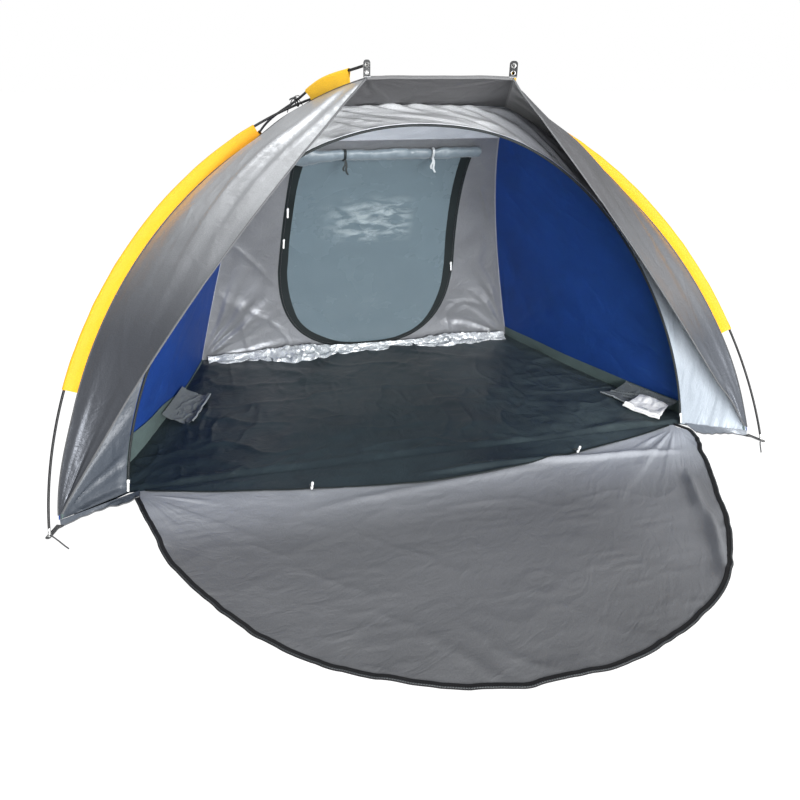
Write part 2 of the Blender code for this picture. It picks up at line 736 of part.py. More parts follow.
def front_wall_grid():
    """The wall round the doorway, from the arch out to the hoop's seam and the roof seam."""
    inner = arch_edges(ARCH_TAPE_WIDTH / 2 + ARCH_TAPE_GAP)
    outer = np.vstack([mirror(HOOP_SEAM), ROOF_SEAM[1:-1], HOOP_SEAM[::-1]])
    columns = 4
    grid = np.zeros((len(inner), columns + 1, 3))
    for i, (a, b) in enumerate(zip(inner, outer)):
        for j in range(columns + 1):
            grid[i, j] = a + (b - a) * j / columns
    grid = inset(grid, FRONT_WALL_SETBACK, columns=(False, True))
    normals = grid_normals(grid)
    middle = (len(inner) - 1) / 2
    for i in range(len(inner)):
        top = 1.0 - smooth(abs(i - middle), ROOF_STEPS / 2, ROOF_STEPS / 2 + 6)
        fold = HEADER_FOLD * top + SIDE_FOLD * (1.0 - top)
        for j in range(1, columns):
            grid[i, j] += normals[i, j] * fold * (1.0 if i % 2 else -1.0) * math.sin(math.pi * j / columns)
    return grid


def cross_panel(left_to_right, lines, sag):
    """A panel between the left and right side seams; lines are the right seam's points."""
    rows = []
    last = max(len(lines) - 1, 1)
    for k, point in enumerate(lines):
        drop = sag * 4.0 * (k / last) * (1.0 - k / last)
        row = [[point[0] * s, point[1], point[2] - drop * (1.0 - s * s)] for s in left_to_right]
        rows.append(row)
    return np.array(rows)


def back_lines():
    """The side seam's points up to the back wall's top, and from there to the crossing."""
    heights = SIDE_SEAM_RISE[:, 2]
    top = int(np.argmin(np.abs(heights - BACK_WALL_TOP)))
    return SIDE_SEAM_RISE[: top + 1], SIDE_SEAM_RISE[top:]


def window_outline(shrink):
    """The window's outline in X and Z, drawn in by a distance."""
    half = WINDOW_HALF_WIDTH - shrink
    bottom = WINDOW_BOTTOM + shrink
    points = []
    depth = WINDOW_MIDDLE - bottom
    power = 2.0 / WINDOW_ROUNDNESS_SHARE
    steps = 16
    for i in range(steps + 1):
        angle = math.pi * i / steps
        x = abs(math.cos(angle)) ** power * math.copysign(1.0, math.cos(angle))
        points.append((WINDOW_CENTRE_X + half * x, WINDOW_MIDDLE - depth * math.sin(angle) ** power))
    top = WINDOW_TOP - shrink
    narrow = half - WINDOW_TOP_NARROWING
    points.append((WINDOW_CENTRE_X - narrow, top))
    points.append((WINDOW_CENTRE_X + narrow, top))
    return points[::-1]


def build_back(mats, tent):
    """Back wall with its window opening, the window film and the zip tape between them."""
    lower, upper = back_lines()
    grid = cross_panel(ROOF_CROSS, lower, 0.0)
    edge = PANEL_INSET
    holder = {"surface": mats["zip_tape"], "empty": tent}
    low, high = BRIM_SETBACK, FLOOR_DEPTH + CUTTER_REACH
    wall_grid = inset(grid, edge, columns=(True, True))
    wall_grid = inset(wall_grid, CLEARANCE / 2, rows=(False, True))
    wall = sheet("back_wall", wall_grid, CLOTH, mats["grey_cloth"], tent)
    cut(wall, prism("cut_window", window_outline(0.0), low, high, holder), "DIFFERENCE")
    tape = sheet("window_zip_tape", wall_grid, WINDOW_TAPE_THICKNESS, mats["zip_tape"], tent)
    cut(tape, prism("cut_tape_outside", window_outline(CLEARANCE), low, high, holder), "INTERSECT")
    cut(tape, prism("cut_tape_inside", window_outline(WINDOW_TAPE_WIDTH), low, high, holder), "DIFFERENCE")
    film = sheet("window_film", wall_grid, WINDOW_FILM, mats["window_film"], tent)
    inside = window_outline(WINDOW_TAPE_WIDTH + CLEARANCE)
    cut(film, prism("cut_film", inside, low, high, holder), "INTERSECT")
    roof = cross_panel(ROOF_CROSS, upper, ROOF_SAG)
    crown = roof[-1].copy()
    crown[:, 2] = ROOF_SEAM[:, 2]
    roof[-1] = crown
    roof[-2, :, 2] += (ROOF_SEAM[:, 2] - CROSSING_SEAM[2]) / 2
    roof = inset(roof, edge, rows=(False, True), columns=(True, True))
    roof = inset(roof, CLEARANCE / 2, rows=(True, False))
    sheet("roof_panel", roof, CLOTH, mats["grey_cloth"], tent)
    awning = cross_panel(ROOF_CROSS, SIDE_SEAM_BRIM, AWNING_SAG)
    for k in range(len(BRIM_SHARES)):
        awning[k, :, 2] += (ROOF_SEAM[:, 2] - CROSSING_SEAM[2]) * (1.0 - k / (len(BRIM_SHARES) - 1)) ** 2
    awning = inset(awning, edge, rows=(True, False), columns=(True, True))
    sheet("awning_panel", awning, CLOTH, mats["grey_cloth"], tent)


def wall_point(x, height):
    """The back wall's middle surface at a place, and its direction up the wall."""
    lower = back_lines()[0]
    y = np.interp(height, lower[:, 2], lower[:, 1])
    above = np.interp(height + SLOPE_STEP, lower[:, 2], lower[:, 1])
    return np.array([x, y, height]), unit([0.0, above - y, SLOPE_STEP])


def build_walls(mats, tent):
    """Side walls, hood wings and the front wall."""
    edge = PANEL_INSET
    wall = side_wall_grid()
    wall = inset(wall, edge, columns=(True, True))
    wing = hood_wing_grid()
    wing = inset(wing, edge, rows=(False, True), columns=(False, True))
    for side, name in ((mirror, "left"), (np.asarray, "right")):
        sheet(f"side_wall_{name}", side(wall), CLOTH, mats["blue_cloth"], tent)
        sheet(f"hood_wing_{name}", side(wing), CLOTH, mats["grey_cloth"], tent)
    sheet("front_wall", front_wall_grid(), CLOTH, mats["grey_cloth"], tent)


def sleeve_rings(poles, seams):
    """Outer and inner rings of a sleeve: a tube round the pole with a flat web down to the seam."""
    along = tangents(poles)
    outer, inner = [], []
    arcs = np.radians([26.0, 69.0, 112.0, 156.0, 204.0, 248.0, 291.0, 334.0])
    bores = np.radians(18.0 + 36.0 * np.arange(10))
    for pole, seam, direction in zip(poles, seams, along):
        gap = np.linalg.norm(seam - pole)
        first = (seam - pole) / gap
        second = unit(np.cross(direction, first))
        tip = gap - WEB_TIP_GAP
        ring = [pole + first * tip + second * WEB_THICKNESS / 2]
        ring += [pole + SLEEVE_TUBE_RADIUS * (first * math.cos(a) + second * math.sin(a)) for a in arcs]
        ring.append(pole + first * tip - second * WEB_THICKNESS / 2)
        outer.append(ring)
        inner.append([pole + SLEEVE_BORE_RADIUS * (first * math.cos(a) + second * math.sin(a)) for a in bores])
    return outer, inner


def build_sleeves(mats, tent):
    """Yellow sleeves that hold the poles to the cloth."""
    first, last = SLEEVE_FIRST, SLEEVE_LAST + 1
    runs = {
        "long_sleeve": (HOOP_RISE[first:last], HOOP_SEAM[first:last]),
        "rear_sleeve": (SIDE_POLE_RISE[first:last], SIDE_SEAM_RISE[first:last]),
        "short_sleeve": (SIDE_POLE_BRIM[1:-1], SIDE_SEAM_BRIM[1:-1]),
    }
    for title, (poles, seams) in runs.items():
        for side, name in ((mirror, "left"), (np.asarray, "right")):
            bm = bmesh.new()
            add_hollow(bm, *sleeve_rings(side(poles), side(seams)))
            add_mesh(f"{title}_{name}", bm, mats["yellow_cloth"], tent)
    bm = bmesh.new()
    add_hollow(bm, *sleeve_rings(HOOP_ROOF[2:-2], ROOF_SEAM[2:-2]))
    add_mesh("roof_sleeve", bm, mats["yellow_cloth"], tent)


# Frame


def add_section(bm, path, start, end, tip_first, last):
    """One section of a pole: a tube with a tip or an open end, and a socket for the next section."""
    low = start + (TIP_LENGTH if tip_first else SECTION_GAP / 2)
    high = end - (TIP_LENGTH if last == "tip" else SECTION_GAP / 2)
    outer_at = [(low, POLE_RADIUS), (high, POLE_RADIUS)]
    bore_at = [(low, POLE_BORE_RADIUS), (high, POLE_BORE_RADIUS)]
    if tip_first:
        point = POLE_RADIUS * TIP_POINT_SHARE
        outer_at[:1] = [(start, point), (start + TIP_POINT_LENGTH, POLE_RADIUS)]
        bore_at[0] = (low + TIP_PLUG, POLE_BORE_RADIUS)
    if last == "tip":
        point = POLE_RADIUS * TIP_POINT_SHARE
        outer_at[-1:] = [(end - TIP_POINT_LENGTH, POLE_RADIUS), (end, point)]
        bore_at[-1] = (high - TIP_PLUG, POLE_BORE_RADIUS)
    else:
        half = FERRULE_LENGTH / 2
        outer_at[-1:] = [(end - half, POLE_RADIUS), (end - half, FERRULE_RADIUS), (end + half, FERRULE_RADIUS)]
        bore_at += [(high, FERRULE_BORE_RADIUS), (end + half, FERRULE_BORE_RADIUS)]
    skins = []
    for stops in (outer_at, bore_at):
        rings = []
        for (a, radius), (b, next_radius) in zip(stops, stops[1:]):
            stretch = [path.point(a), path.point(b)] if a == b else path.cut(a, b)
            sizes = [radius] * (len(stretch) - 1) + [next_radius]
            rings += list(zip(stretch, sizes))[: None if b == stops[-1][0] else -1]
        skins.append(rings)
    skin_body(bm, skins, tip_first, last == "tip")


def skin_body(bm, skins, closed_start, closed_end):
    """Skin the outside and the bore of a section, and join them at its open ends."""
    made = []
    for stops in skins:
        centres = [centre for centre, _ in stops]
        directions = stop_frames(centres)
        rings = [circle(c, a, b, r, TUBE_SIDES) for (c, r), (a, b) in zip(stops, directions)]
        made.append([[bm.verts.new(point) for point in ring] for ring in rings])
    outside, inside = made
    for i in range(TUBE_SIDES):
        j = (i + 1) % TUBE_SIDES
        for skin in made:
            for a, b in zip(skin, skin[1:]):
                bm.faces.new((a[i], a[j], b[j], b[i]))
        if not closed_start:
            bm.faces.new((outside[0][j], outside[0][i], inside[0][i], inside[0][j]))
        if not closed_end:
            bm.faces.new((outside[-1][i], outside[-1][j], inside[-1][j], inside[-1][i]))
    for closed, at in ((closed_start, 0), (closed_end, -1)):
        if closed:
            bm.faces.new(outside[at])
            bm.faces.new(inside[at])


def stop_frames(centres):
    """Ring directions along centres, where a centre may come twice in a row."""
    kept = [centres[0]]
    for centre in centres[1:]:
        if np.linalg.norm(centre - kept[-1]) > 0.0:
            kept.append(centre)
    frames = ring_frames(kept)
    found = []
    place = 0
    for i, centre in enumerate(centres):
        if i and np.linalg.norm(centre - centres[i - 1]) > 0.0:
            place += 1
        found.append(frames[place])
    return found


def build_pole(name, path, count, mats, tent):
    """One pole: sections that plug into each other and the shock cord that runs through them."""
    length = path.length / count
    for i in range(count):
        last = "tip" if i == count - 1 else "socket"
        bm = bmesh.new()
        add_section(bm, path, i * length, (i + 1) * length, i == 0, last)
        add_mesh(f"{name}_section_{i + 1}", bm, mats["fibreglass"], tent)
    end = TIP_LENGTH + TIP_PLUG + CLEARANCE
    bm = bmesh.new()
    add_rod(bm, path.cut(end, path.length - end), SHOCK_CORD_RADIUS, 4)
    add_mesh(f"{name}_shock_cord", bm, mats["cord"], tent)


def build_frame(mats, tent):
    """The hoop and the two side poles."""
    hoop = hoop_path()
    right = side_path()
    left = Path(mirror(right.points))
    build_pole("hoop_pole", hoop, HOOP_SECTION_COUNT, mats, tent)
    build_pole("side_pole_left", left, SIDE_SECTION_COUNT, mats, tent)
    build_pole("side_pole_right", right, SIDE_SECTION_COUNT, mats, tent)
    print("hoop length", round(hoop.length, 3), "side pole length", round(right.length, 3))


def add_holed_strip(bm, corners, normal, holes, radius, thickness, lead=None):
    """A flat strip of webbing with round holes; lead is a pair of points that it comes from."""
    long_way = unit(corners[1] - corners[0])
    wide_way = unit(corners[3] - corners[0])
    width = np.linalg.norm(corners[3] - corners[0])
    stops = [0.0]
    for hole in holes:
        stops += [hole - radius * 1.15, hole + radius * 1.15]
    stops.append(np.linalg.norm(corners[1] - corners[0]))
    lift = unit(normal) * thickness / 2
    sides = 12
    quarter = sides // 4
    layers = []
    for side in (1.0, -1.0):
        start = corners[0] + lift * side
        rows = [[bm.verts.new(start + long_way * s + wide_way * w) for w in (0.0, width)] for s in stops]
        rings = []
        for hole in holes:
            turns = [2.0 * math.pi * (i + 0.5) / sides for i in range(sides)]
            ring = [(hole + radius * math.cos(a), width / 2 + radius * math.sin(a)) for a in turns]
            rings.append([bm.verts.new(start + long_way * s + wide_way * w) for s, w in ring])
        for i in range(len(stops) - 1):
            if i % 2 == 0:
                bm.faces.new((rows[i][0], rows[i + 1][0], rows[i + 1][1], rows[i][1]))
                continue
            ring = rings[i // 2]
            corner = [rows[i + 1][1], rows[i][1], rows[i][0], rows[i + 1][0]]
            for q in range(4):
                for index in range(q * quarter, (q + 1) * quarter - 1):
                    bm.faces.new((corner[q], ring[index], ring[index + 1]))
                end = (q + 1) * quarter - 1
                bm.faces.new((corner[q], ring[end], ring[(end + 1) % sides]))
                bm.faces.new((corner[q], ring[(end + 1) % sides], corner[(q + 1) % 4]))
        if lead is not None:
            first = [bm.verts.new(point + lift * side) for point in lead]
            bm.faces.new((first[0], rows[0][0], rows[0][1], first[1]))
            rows.insert(0, first)
        layers.append((rows, rings))
    (top, top_rings), (low, low_rings) = layers
    for i in range(len(top) - 1):
        for w in (0, 1):
            bm.faces.new((top[i][w], top[i + 1][w], low[i + 1][w], low[i][w]))
    for i in (0, -1):
        bm.faces.new((top[i][0], top[i][1], low[i][1], low[i][0]))
    for a, b in zip(top_rings, low_rings):
        for i in range(sides):
            j = (i + 1) % sides
            bm.faces.new((a[i], a[j], b[j], b[i]))


def build_straps(mats, tent):
    """Webbing straps at the four feet, each with the eyelet hole that a pole's tip stands in."""
    hole_radius = (POLE_RADIUS + EYELET_CLEARANCE) / math.cos(math.pi / 12)
    feet = (
        ("front", HOOP_RISE[0], hoop_path().points[-1], HOOP_SEAM[0], HOOP_SEAM[1]),
        ("rear", SIDE_POLE_RISE[1], side_path().points[0], SIDE_SEAM_RISE[0], SIDE_SEAM_RISE[1]),
    )
    for title, above_foot, foot, corner, above in feet:
        rise = unit(above_foot - foot)
        level = foot + rise * (STRAP_HEIGHT - foot[2]) / rise[2]
        start = corner + unit(corner - above) * CLEARANCE
        start[2] = max(start[2], FLOOR_THICKNESS + CLEARANCE + STRAP_THICKNESS / 2)
        along = unit((level - start) * np.array([1.0, 1.0, 0.0]))
        across = np.array([-along[1], along[0], 0.0]) * STRAP_WIDTH / 2
        start = start + along * (CLOTH + CLEARANCE)
        near = level - along * hole_radius * 2.0
        end = level + along * STRAP_TAIL
        corners = [near - across, end - across, end + across, near + across]
        lead = [start - across, start + across]
        hole = np.linalg.norm(level - near)
        for side, name in ((mirror, "left"), (np.asarray, "right")):
            bm = bmesh.new()
            placed = [side(c) for c in corners]
            led = [side(c) for c in lead]
            add_holed_strip(bm, placed, np.array([0.0, 0.0, 1.0]), [hole], hole_radius, STRAP_THICKNESS, led)
            add_mesh(f"foot_strap_{title}_{name}", bm, mats["webbing"], tent)


def build_tabs(mats, tent):
    """Tabs of webbing on the brim; the side pole's tip stands in the upper of their two eyelet holes."""
    hole_radius = (POLE_RADIUS + EYELET_CLEARANCE) / math.cos(math.pi / 12)
    facing = unit((SIDE_POLE_BRIM[-1] - SIDE_POLE_BRIM[-2]) * np.array([1.0, 1.0, 0.0]))
    across = np.array([-facing[1], facing[0], 0.0]) * TAB_WIDTH / 2
    base = BRIM_CORNER + np.array([0.0, 0.0, TAB_LIFT])
    top = base + np.array([0.0, 0.0, TAB_HEIGHT])
    corners = [base - across, top - across, top + across, base + across]
    holes = [TAB_EYELET_LOW, TAB_EYELET_HIGH]
    for side, name in ((mirror, "left"), (np.asarray, "right")):
        bm = bmesh.new()
        placed = [side(c) for c in corners]
        add_holed_strip(bm, placed, side(facing), holes, hole_radius, STRAP_THICKNESS)
        add_mesh(f"brim_tab_{name}", bm, mats["webbing"], tent)


# Door, arch zip and sill


def door_wave(x, y):
    """Height of the folds of the door where it lies on the ground."""
    fade = smooth(-y, DOOR_WAVE_START, DOOR_WAVE_START * 2)
    a = math.sin(2.0 * math.pi * (x / DOOR_WAVE_PITCH_X + 0.6 * y / DOOR_WAVE_PITCH_Y))
    b = math.sin(2.0 * math.pi * (0.35 * x / DOOR_WAVE_PITCH_X - y / DOOR_WAVE_PITCH_Y) + 1.3)
    return DOOR_WAVE * fade * max(0.5 * (a + b), 0.0) ** 1.5


def door_edge(out):
    """How far the door reaches from the sill at a share of its half width."""
    return DOOR_SPAN * max(1.0 - out * out, 0.0) ** (1.0 / ARCH_ROUNDNESS_SHARE)


def door_outs():
    """Shares of the door's half width at which it has its points."""
    return np.sin(np.radians(np.linspace(-84.5, 84.5, 21)))


def apron_depth(out):
    """How far the sill's apron reaches from the sill; out is the share of its half width."""
    across, ahead = APRON_BOW_SHARES
    return APRON_DEPTH * (1.0 - abs(out) ** across) ** ahead


def build_door(mats, door):
    """The door panel on the ground with its zip tape, the sill's apron and the toggles."""
    rows = []
    for out in door_outs():
        x = DOOR_HALF_WIDTH * out
        reach = door_edge(out)
        row = []
        for share in np.linspace(0.0, 1.0, 10):
            y = -DOOR_ROOT_GAP - (reach - DOOR_ROOT_GAP) * share
            row.append((x, y, DOOR_CLOTH / 2 + door_wave(x, y) - DOOR_HINGE_HEIGHT))
        rows.append(row)
    grid = np.array(rows)
    sheet("door_panel", grid, DOOR_CLOTH, mats["grey_cloth"], door)
    edge = grid[:, -1].copy()
    edge = np.vstack([grid[0, 0], edge, grid[-1, 0]])
    along = tangents(edge)
    outward = np.cross(along, np.array([0.0, 0.0, 1.0]))
    outward = outward / np.linalg.norm(outward, axis=1)[:, None]
    if outward[len(edge) // 2][1] > 0:
        outward = -outward
    lift = np.array([0.0, 0.0, (DOOR_TAPE_THICKNESS - DOOR_CLOTH) / 2])
    stretch = 1.0 / np.maximum((tangents(edge)[1:-1] * unit_steps(edge)[:-1]).sum(axis=1), 0.6)
    stretch = np.concatenate([[1.0], stretch, [1.0]])[:, None]
    inner = edge + outward * CLEARANCE * stretch + lift
    outer = edge + outward * (CLEARANCE + DOOR_TAPE_WIDTH) * stretch + lift
    tape = np.stack([inner, outer], axis=1)
    sheet("door_zip_tape", tape, DOOR_TAPE_THICKNESS, mats["zip_tape"], door)
    rows = []
    base = DOOR_CLOTH + APRON_LIFT + APRON_THICKNESS / 2 - DOOR_HINGE_HEIGHT
    for out in np.linspace(-APRON_END_SHARE, APRON_END_SHARE, APRON_STEPS + 1):
        depth = apron_depth(out)
        y = -DOOR_ROOT_GAP
        rows.append([(APRON_HALF_WIDTH * out, y - depth * s, base) for s in (0.0, 0.5, 1.0)])
    sheet("sill_apron", np.array(rows), APRON_THICKNESS, mats["tarpaulin"], door)
    for share, name in zip(TOGGLE_SHARES, ("left", "right")):
        bm = bmesh.new()
        x = APRON_HALF_WIDTH * share
        y = -apron_depth(share)
        height = base + APRON_THICKNESS / 2 + CLEARANCE + TOGGLE_RADIUS
        profile = ((0.0, 0.55), (0.12, 1.0), (0.42, 0.8), (0.58, 0.8), (0.88, 1.0), (1.0, 0.55))
        start = np.array([x, y + TOGGLE_LENGTH / 2, height])
        rings = []
        for at, swell in profile:
            centre = start - np.array([0.0, TOGGLE_LENGTH * at, 0.0])
            first, second = np.array([1.0, 0.0, 0.0]), np.array([0.0, 0.0, 1.0])
            rings.append(circle(centre, first, second, TOGGLE_RADIUS * swell, TUBE_SIDES))
        add_rings(bm, rings)
        add_mesh(f"door_toggle_{name}", bm, mats["white_plastic"], door)


def unit_steps(points):
    """Unit directions of a polyline's segments."""
    steps = np.diff(points, axis=0)
    return steps / np.linalg.norm(steps, axis=1)[:, None]


def build_arch_zip(mats, tent):
    """The zip tape round the doorway."""
    tape = np.stack([arch_edges(-ARCH_TAPE_WIDTH / 2), arch_edges(ARCH_TAPE_WIDTH / 2)], axis=1)
    sheet("arch_zip_tape", tape, ARCH_TAPE_THICKNESS, mats["zip_tape"], tent)


def rounded_plate(bm, centre, across, along, out, width, length, thickness):
    """A small plate with cut corners; it stands out from centre by its thickness."""
    w, l = width / 2, length / 2
    c = width * 0.25
    outline = ((w - c, -l), (w, -l + c), (w, l - c), (w - c, l), (c - w, l), (-w, l - c), (-w, c - l), (c - w, -l))
    rings = []
    for at in (0.0, thickness):
        rings.append([centre + across * x + along * y + out * at for x, y in outline])
    add_rings(bm, rings)


def build_slider(name, place, up, out, hang, surface_gap, mats, tent):
    """A zip slider in front of its tape, and the pull that hangs from it on an axis of its own."""
    across = unit(np.cross(up, out))
    back = place + out * surface_gap
    bm = bmesh.new()
    rounded_plate(bm, back, across, up, out, SLIDER_WIDTH, SLIDER_LENGTH, SLIDER_THICKNESS)
    add_mesh(f"{name}_slider", bm, mats["white_plastic"], tent)
    pivot = back + out * (SLIDER_THICKNESS + PULL_GAP + PULL_THICKNESS / 2)
    turned = bpy.data.objects.new(f"{name}_pull_axis", None)
    turned.parent = tent
    turned.location = pivot
    bpy.context.collection.objects.link(turned)
    hang = unit(hang - across * (hang @ across))
    front = np.cross(hang, across)
    bm = bmesh.new()
    centre = hang * (PULL_LENGTH - PULL_THICKNESS) / 2 - front * PULL_THICKNESS / 2
    rounded_plate(bm, centre, across, hang, front, PULL_WIDTH, PULL_LENGTH, PULL_THICKNESS)
    add_mesh(f"{name}_pull", bm, mats["white_plastic"], turned)
    turned["axis"] = [float(v) for v in -across]
    turned["lean"] = math.degrees(math.acos(min(1.0, float(-hang @ up))))


def build_door_sliders(mats, tent):
    """The two sliders of the door zip, at the feet of the arch."""
    turns = np.linspace(0.0, 1.0, 400)
    heights = np.array([arch_point(turn)[2] for turn in turns])
    ends = (DOOR_SLIDER_HEIGHT, DOOR_SLIDER_HEIGHT + DOOR_SLIDE_TRAVEL)
    feet = [float(np.interp(-height, -heights, turns)) for height in ends]
    place, above = [arch_point(turn) for turn in feet]
    facing = unit([0.0, -1.0, ARCH_LEAN_SHARE])
    gap = ARCH_TAPE_THICKNESS / 2 + SLIDER_LIFT
    for side, name in ((mirror, "left"), (np.asarray, "right")):
        up = unit(side(above) - side(place))
        out = unit(facing - up * (facing @ up))
        build_slider(f"door_{name}", side(place), up, out, -up, gap, mats, tent)
        print(f"door_{name} slide axis", up.round(5).tolist())


def tape_point(side, height):
    """The middle of the window's zip tape on one side of the window, at a height."""
    x = WINDOW_CENTRE_X + side * (window_half_width(height) - WINDOW_TAPE_WIDTH / 2)
    return wall_point(x, height)[0]


def build_window_sliders(mats, tent):
    """The three sliders of the window zip; their pulls hang straight down off the leaning wall."""
    down = np.array([0.0, 0.0, -1.0])
    gap = WINDOW_TAPE_THICKNESS / 2 + SLIDER_LIFT
    for title, side, share in WINDOW_SLIDER_SHARES:
        height = WINDOW_TOP * share
        place = tape_point(side, height)
        up = unit(tape_point(side, height + SLIDER_LENGTH) - place)
        wall_up = wall_point(0.0, height)[1]
        out = np.array([0.0, -wall_up[2], wall_up[1]])
        out = unit(out - up * (out @ up))
        build_slider(f"window_{title}", place, up, out, down, gap, mats, tent)
        chord = unit(tape_point(side, height + WINDOW_SLIDE_TRAVEL) - place)
        print(f"window_{title} slide axis", chord.round(5).tolist())


def window_half_width(height):
    """Half the window's width at a height."""
    if height >= WINDOW_MIDDLE:
        share = (height - WINDOW_MIDDLE) / (WINDOW_TOP - WINDOW_MIDDLE)
        return WINDOW_HALF_WIDTH - WINDOW_TOP_NARROWING * share
    share = (WINDOW_MIDDLE - height) / (WINDOW_MIDDLE - WINDOW_BOTTOM)
    return WINDOW_HALF_WIDTH * (1.0 - share**WINDOW_ROUNDNESS_SHARE) ** (1.0 / WINDOW_ROUNDNESS_SHARE)


def build_window_roll(mats, tent):
    """The window's rolled flap along its top, and the two bands that hold it to the wall."""
    point, up = wall_point(WINDOW_CENTRE_X, WINDOW_TOP - ROLL_RADIUS)
    out = unit([0.0, -up[2], up[1]])
    band_bore = (ROLL_RADIUS + CLEARANCE) / math.cos(math.pi / 12)
    band_radius = band_bore + ROLL_TIE_THICKNESS
    centre = point + out * (WINDOW_TAPE_THICKNESS / 2 + CLEARANCE + band_radius)
    side_way = np.array([1.0, 0.0, 0.0])
    stations = [WINDOW_CENTRE_X + ROLL_HALF_LENGTH * share for share in np.linspace(-1.0, 1.0, 15)]
    clear = ROLL_TIE_WIDTH * 2.0
    stations = [x for x in stations if min(abs(x - tie) for tie in ROLL_TIE_X) > clear]
    for tie in ROLL_TIE_X:
        stations += [tie - ROLL_TIE_WIDTH, tie + ROLL_TIE_WIDTH]
    rings = []
    for i, x in enumerate(sorted(stations)):
        radius = ROLL_RADIUS + ROLL_SWELL * (i % 2)
        if min(abs(x - tie) for tie in ROLL_TIE_X) < clear:
            radius = ROLL_RADIUS
        if i in (0, len(stations) - 1):
            radius = ROLL_RADIUS * ROLL_END_SHARE
        rings.append(circle(centre + side_way * (x - centre[0]), out, up, radius, 10))
    bm = bmesh.new()
    add_rings(bm, rings)
    add_mesh("window_flap_roll", bm, mats["flap_cloth"], tent)
    for x, name in zip(ROLL_TIE_X, ("left", "right")):
        bm = bmesh.new()
        middle = centre.copy()
        middle[0] = x
        ends = np.array([middle - side_way * ROLL_TIE_WIDTH / 2, middle + side_way * ROLL_TIE_WIDTH / 2])
        add_tube(bm, ends, band_radius, band_bore, 12)
        add_mesh(f"flap_tie_{name}", bm, mats["flap_cloth"], tent)


def build_ties(mats, tent):
    """A cord wound once round the two poles at each crossing, with a loop of its bow on top."""
    top = side_pole_point(CROSSING_SHARE)
    middle = (CROSSING_HOOP + top) / 2
    stack = unit(top - CROSSING_HOOP)
    hoop_way = tangents(HOOP_RISE)[-1]
    side_way = tangents(SIDE_POLE_RISE)[-1]
    bisector = unit(hoop_way + side_way)
    half_cosine = float(bisector @ side_way)
    spread = unit(np.cross(stack, bisector))
    reach = POLE_RADIUS + TIE_CORD_RADIUS + CLEARANCE
    height = POLE_STACK / 2 + reach
    pitch = TIE_CORD_RADIUS * 3.0
    width = 1.25 * (reach / half_cosine + pitch * math.sqrt(1.0 - half_cosine**2))
    steps = 16
    points = []
    for i in range(steps + 1):
        turn = 2.0 * math.pi * i / steps
        ring = spread * math.sin(turn) * width + stack * math.cos(turn) * height
        points.append(middle + ring + bisector * pitch * (i / steps - 0.5))
    tail = [points[0] - spread * TIE_TAIL, points[0] - spread * TIE_TAIL / 2]
    last = points[-1]
    for i in range(1, steps):
        turn = 2.0 * math.pi * i / steps
        out = spread * TIE_LOOP_LENGTH * (1.0 - math.cos(turn)) / 2
        aside = bisector * TIE_LOOP_WIDTH * math.sin(turn)
        points.append(last + out + aside + stack * pitch * i / steps)
    for side, name in ((mirror, "left"), (np.asarray, "right")):
        bm = bmesh.new()
        add_rod(bm, side(tail + points), TIE_CORD_RADIUS, 6)
        add_mesh(f"crossing_tie_{name}", bm, mats["cord"], tent)


def build_pockets(mats, tent):
    """Storage pockets that hang from the side walls onto the ground sheet."""
    shares = np.linspace(0.0, 1.0, 101)
    side_curve = np.array([floor_side(share) for share in shares])
    for side, name, span in ((mirror, "left", POCKET_SPAN_LEFT), (np.asarray, "right", POCKET_SPAN_RIGHT)):
        rows = []
        base = FLOOR_THICKNESS + CLEARANCE + POCKET_THICKNESS / 2
        for y in np.linspace(*span, 7):
            x = float(np.interp(-y, -side_curve[:, 1], side_curve[:, 0]))
            lean = wall_lean(y)
            row = []
            for s in np.linspace(0.0, 1.0, 7):
                height = POCKET_HEIGHT * (1.0 - s) ** 3
                inward = POCKET_WALL_GAP + POCKET_DEPTH * s**1.6
                row.append((x - inward - lean * height, y, base + height))
            rows.append(row)
        sheet(f"pocket_{name}", side(np.array(rows)), POCKET_THICKNESS, mats["pocket_mesh"], tent)


def wall_lean(y):
    """How far the side wall leans in per metre of height, near the ground."""
    grid = side_wall_grid()
    low, high = grid[0], grid[2]
    inner = np.interp(-y, -low[:, 1], low[:, 0]) - np.interp(-y, -high[:, 1], high[:, 0])
    rise = np.interp(-y, -high[:, 1], high[:, 2])
    return float(inner / rise)


def centre_on_footprint(tent):
    """Move the tent so that its origin is at the middle of its footprint."""
    bpy.context.view_layer.update()
    graph = bpy.context.evaluated_depsgraph_get()
    corners = []
    for made in bpy.context.scene.objects:
        if made.type == "MESH" and not made.hide_render:
            ready = made.evaluated_get(graph)
            points = np.array([made.matrix_world @ v.co for v in ready.data.vertices])
            corners += [points.min(axis=0), points.max(axis=0)]
    low, high = np.min(corners, axis=0), np.max(corners, axis=0)
    tent.location = (-(low[0] + high[0]) / 2, -(low[1] + high[1]) / 2, -low[2])
    print("size", (high - low).round(4).tolist(), "moved by", [round(v, 5) for v in tent.location])


def print_axes():
    """Print where the door and the pulls turn."""
    bpy.context.view_layer.update()
    for made in bpy.context.scene.objects:
        if made.type == "EMPTY":
            place = [round(v, 5) for v in made.matrix_world.translation]
            print(made.name, place, [round(v, 5) for v in made.get("axis", ())], round(made.get("lean", 0.0), 2))


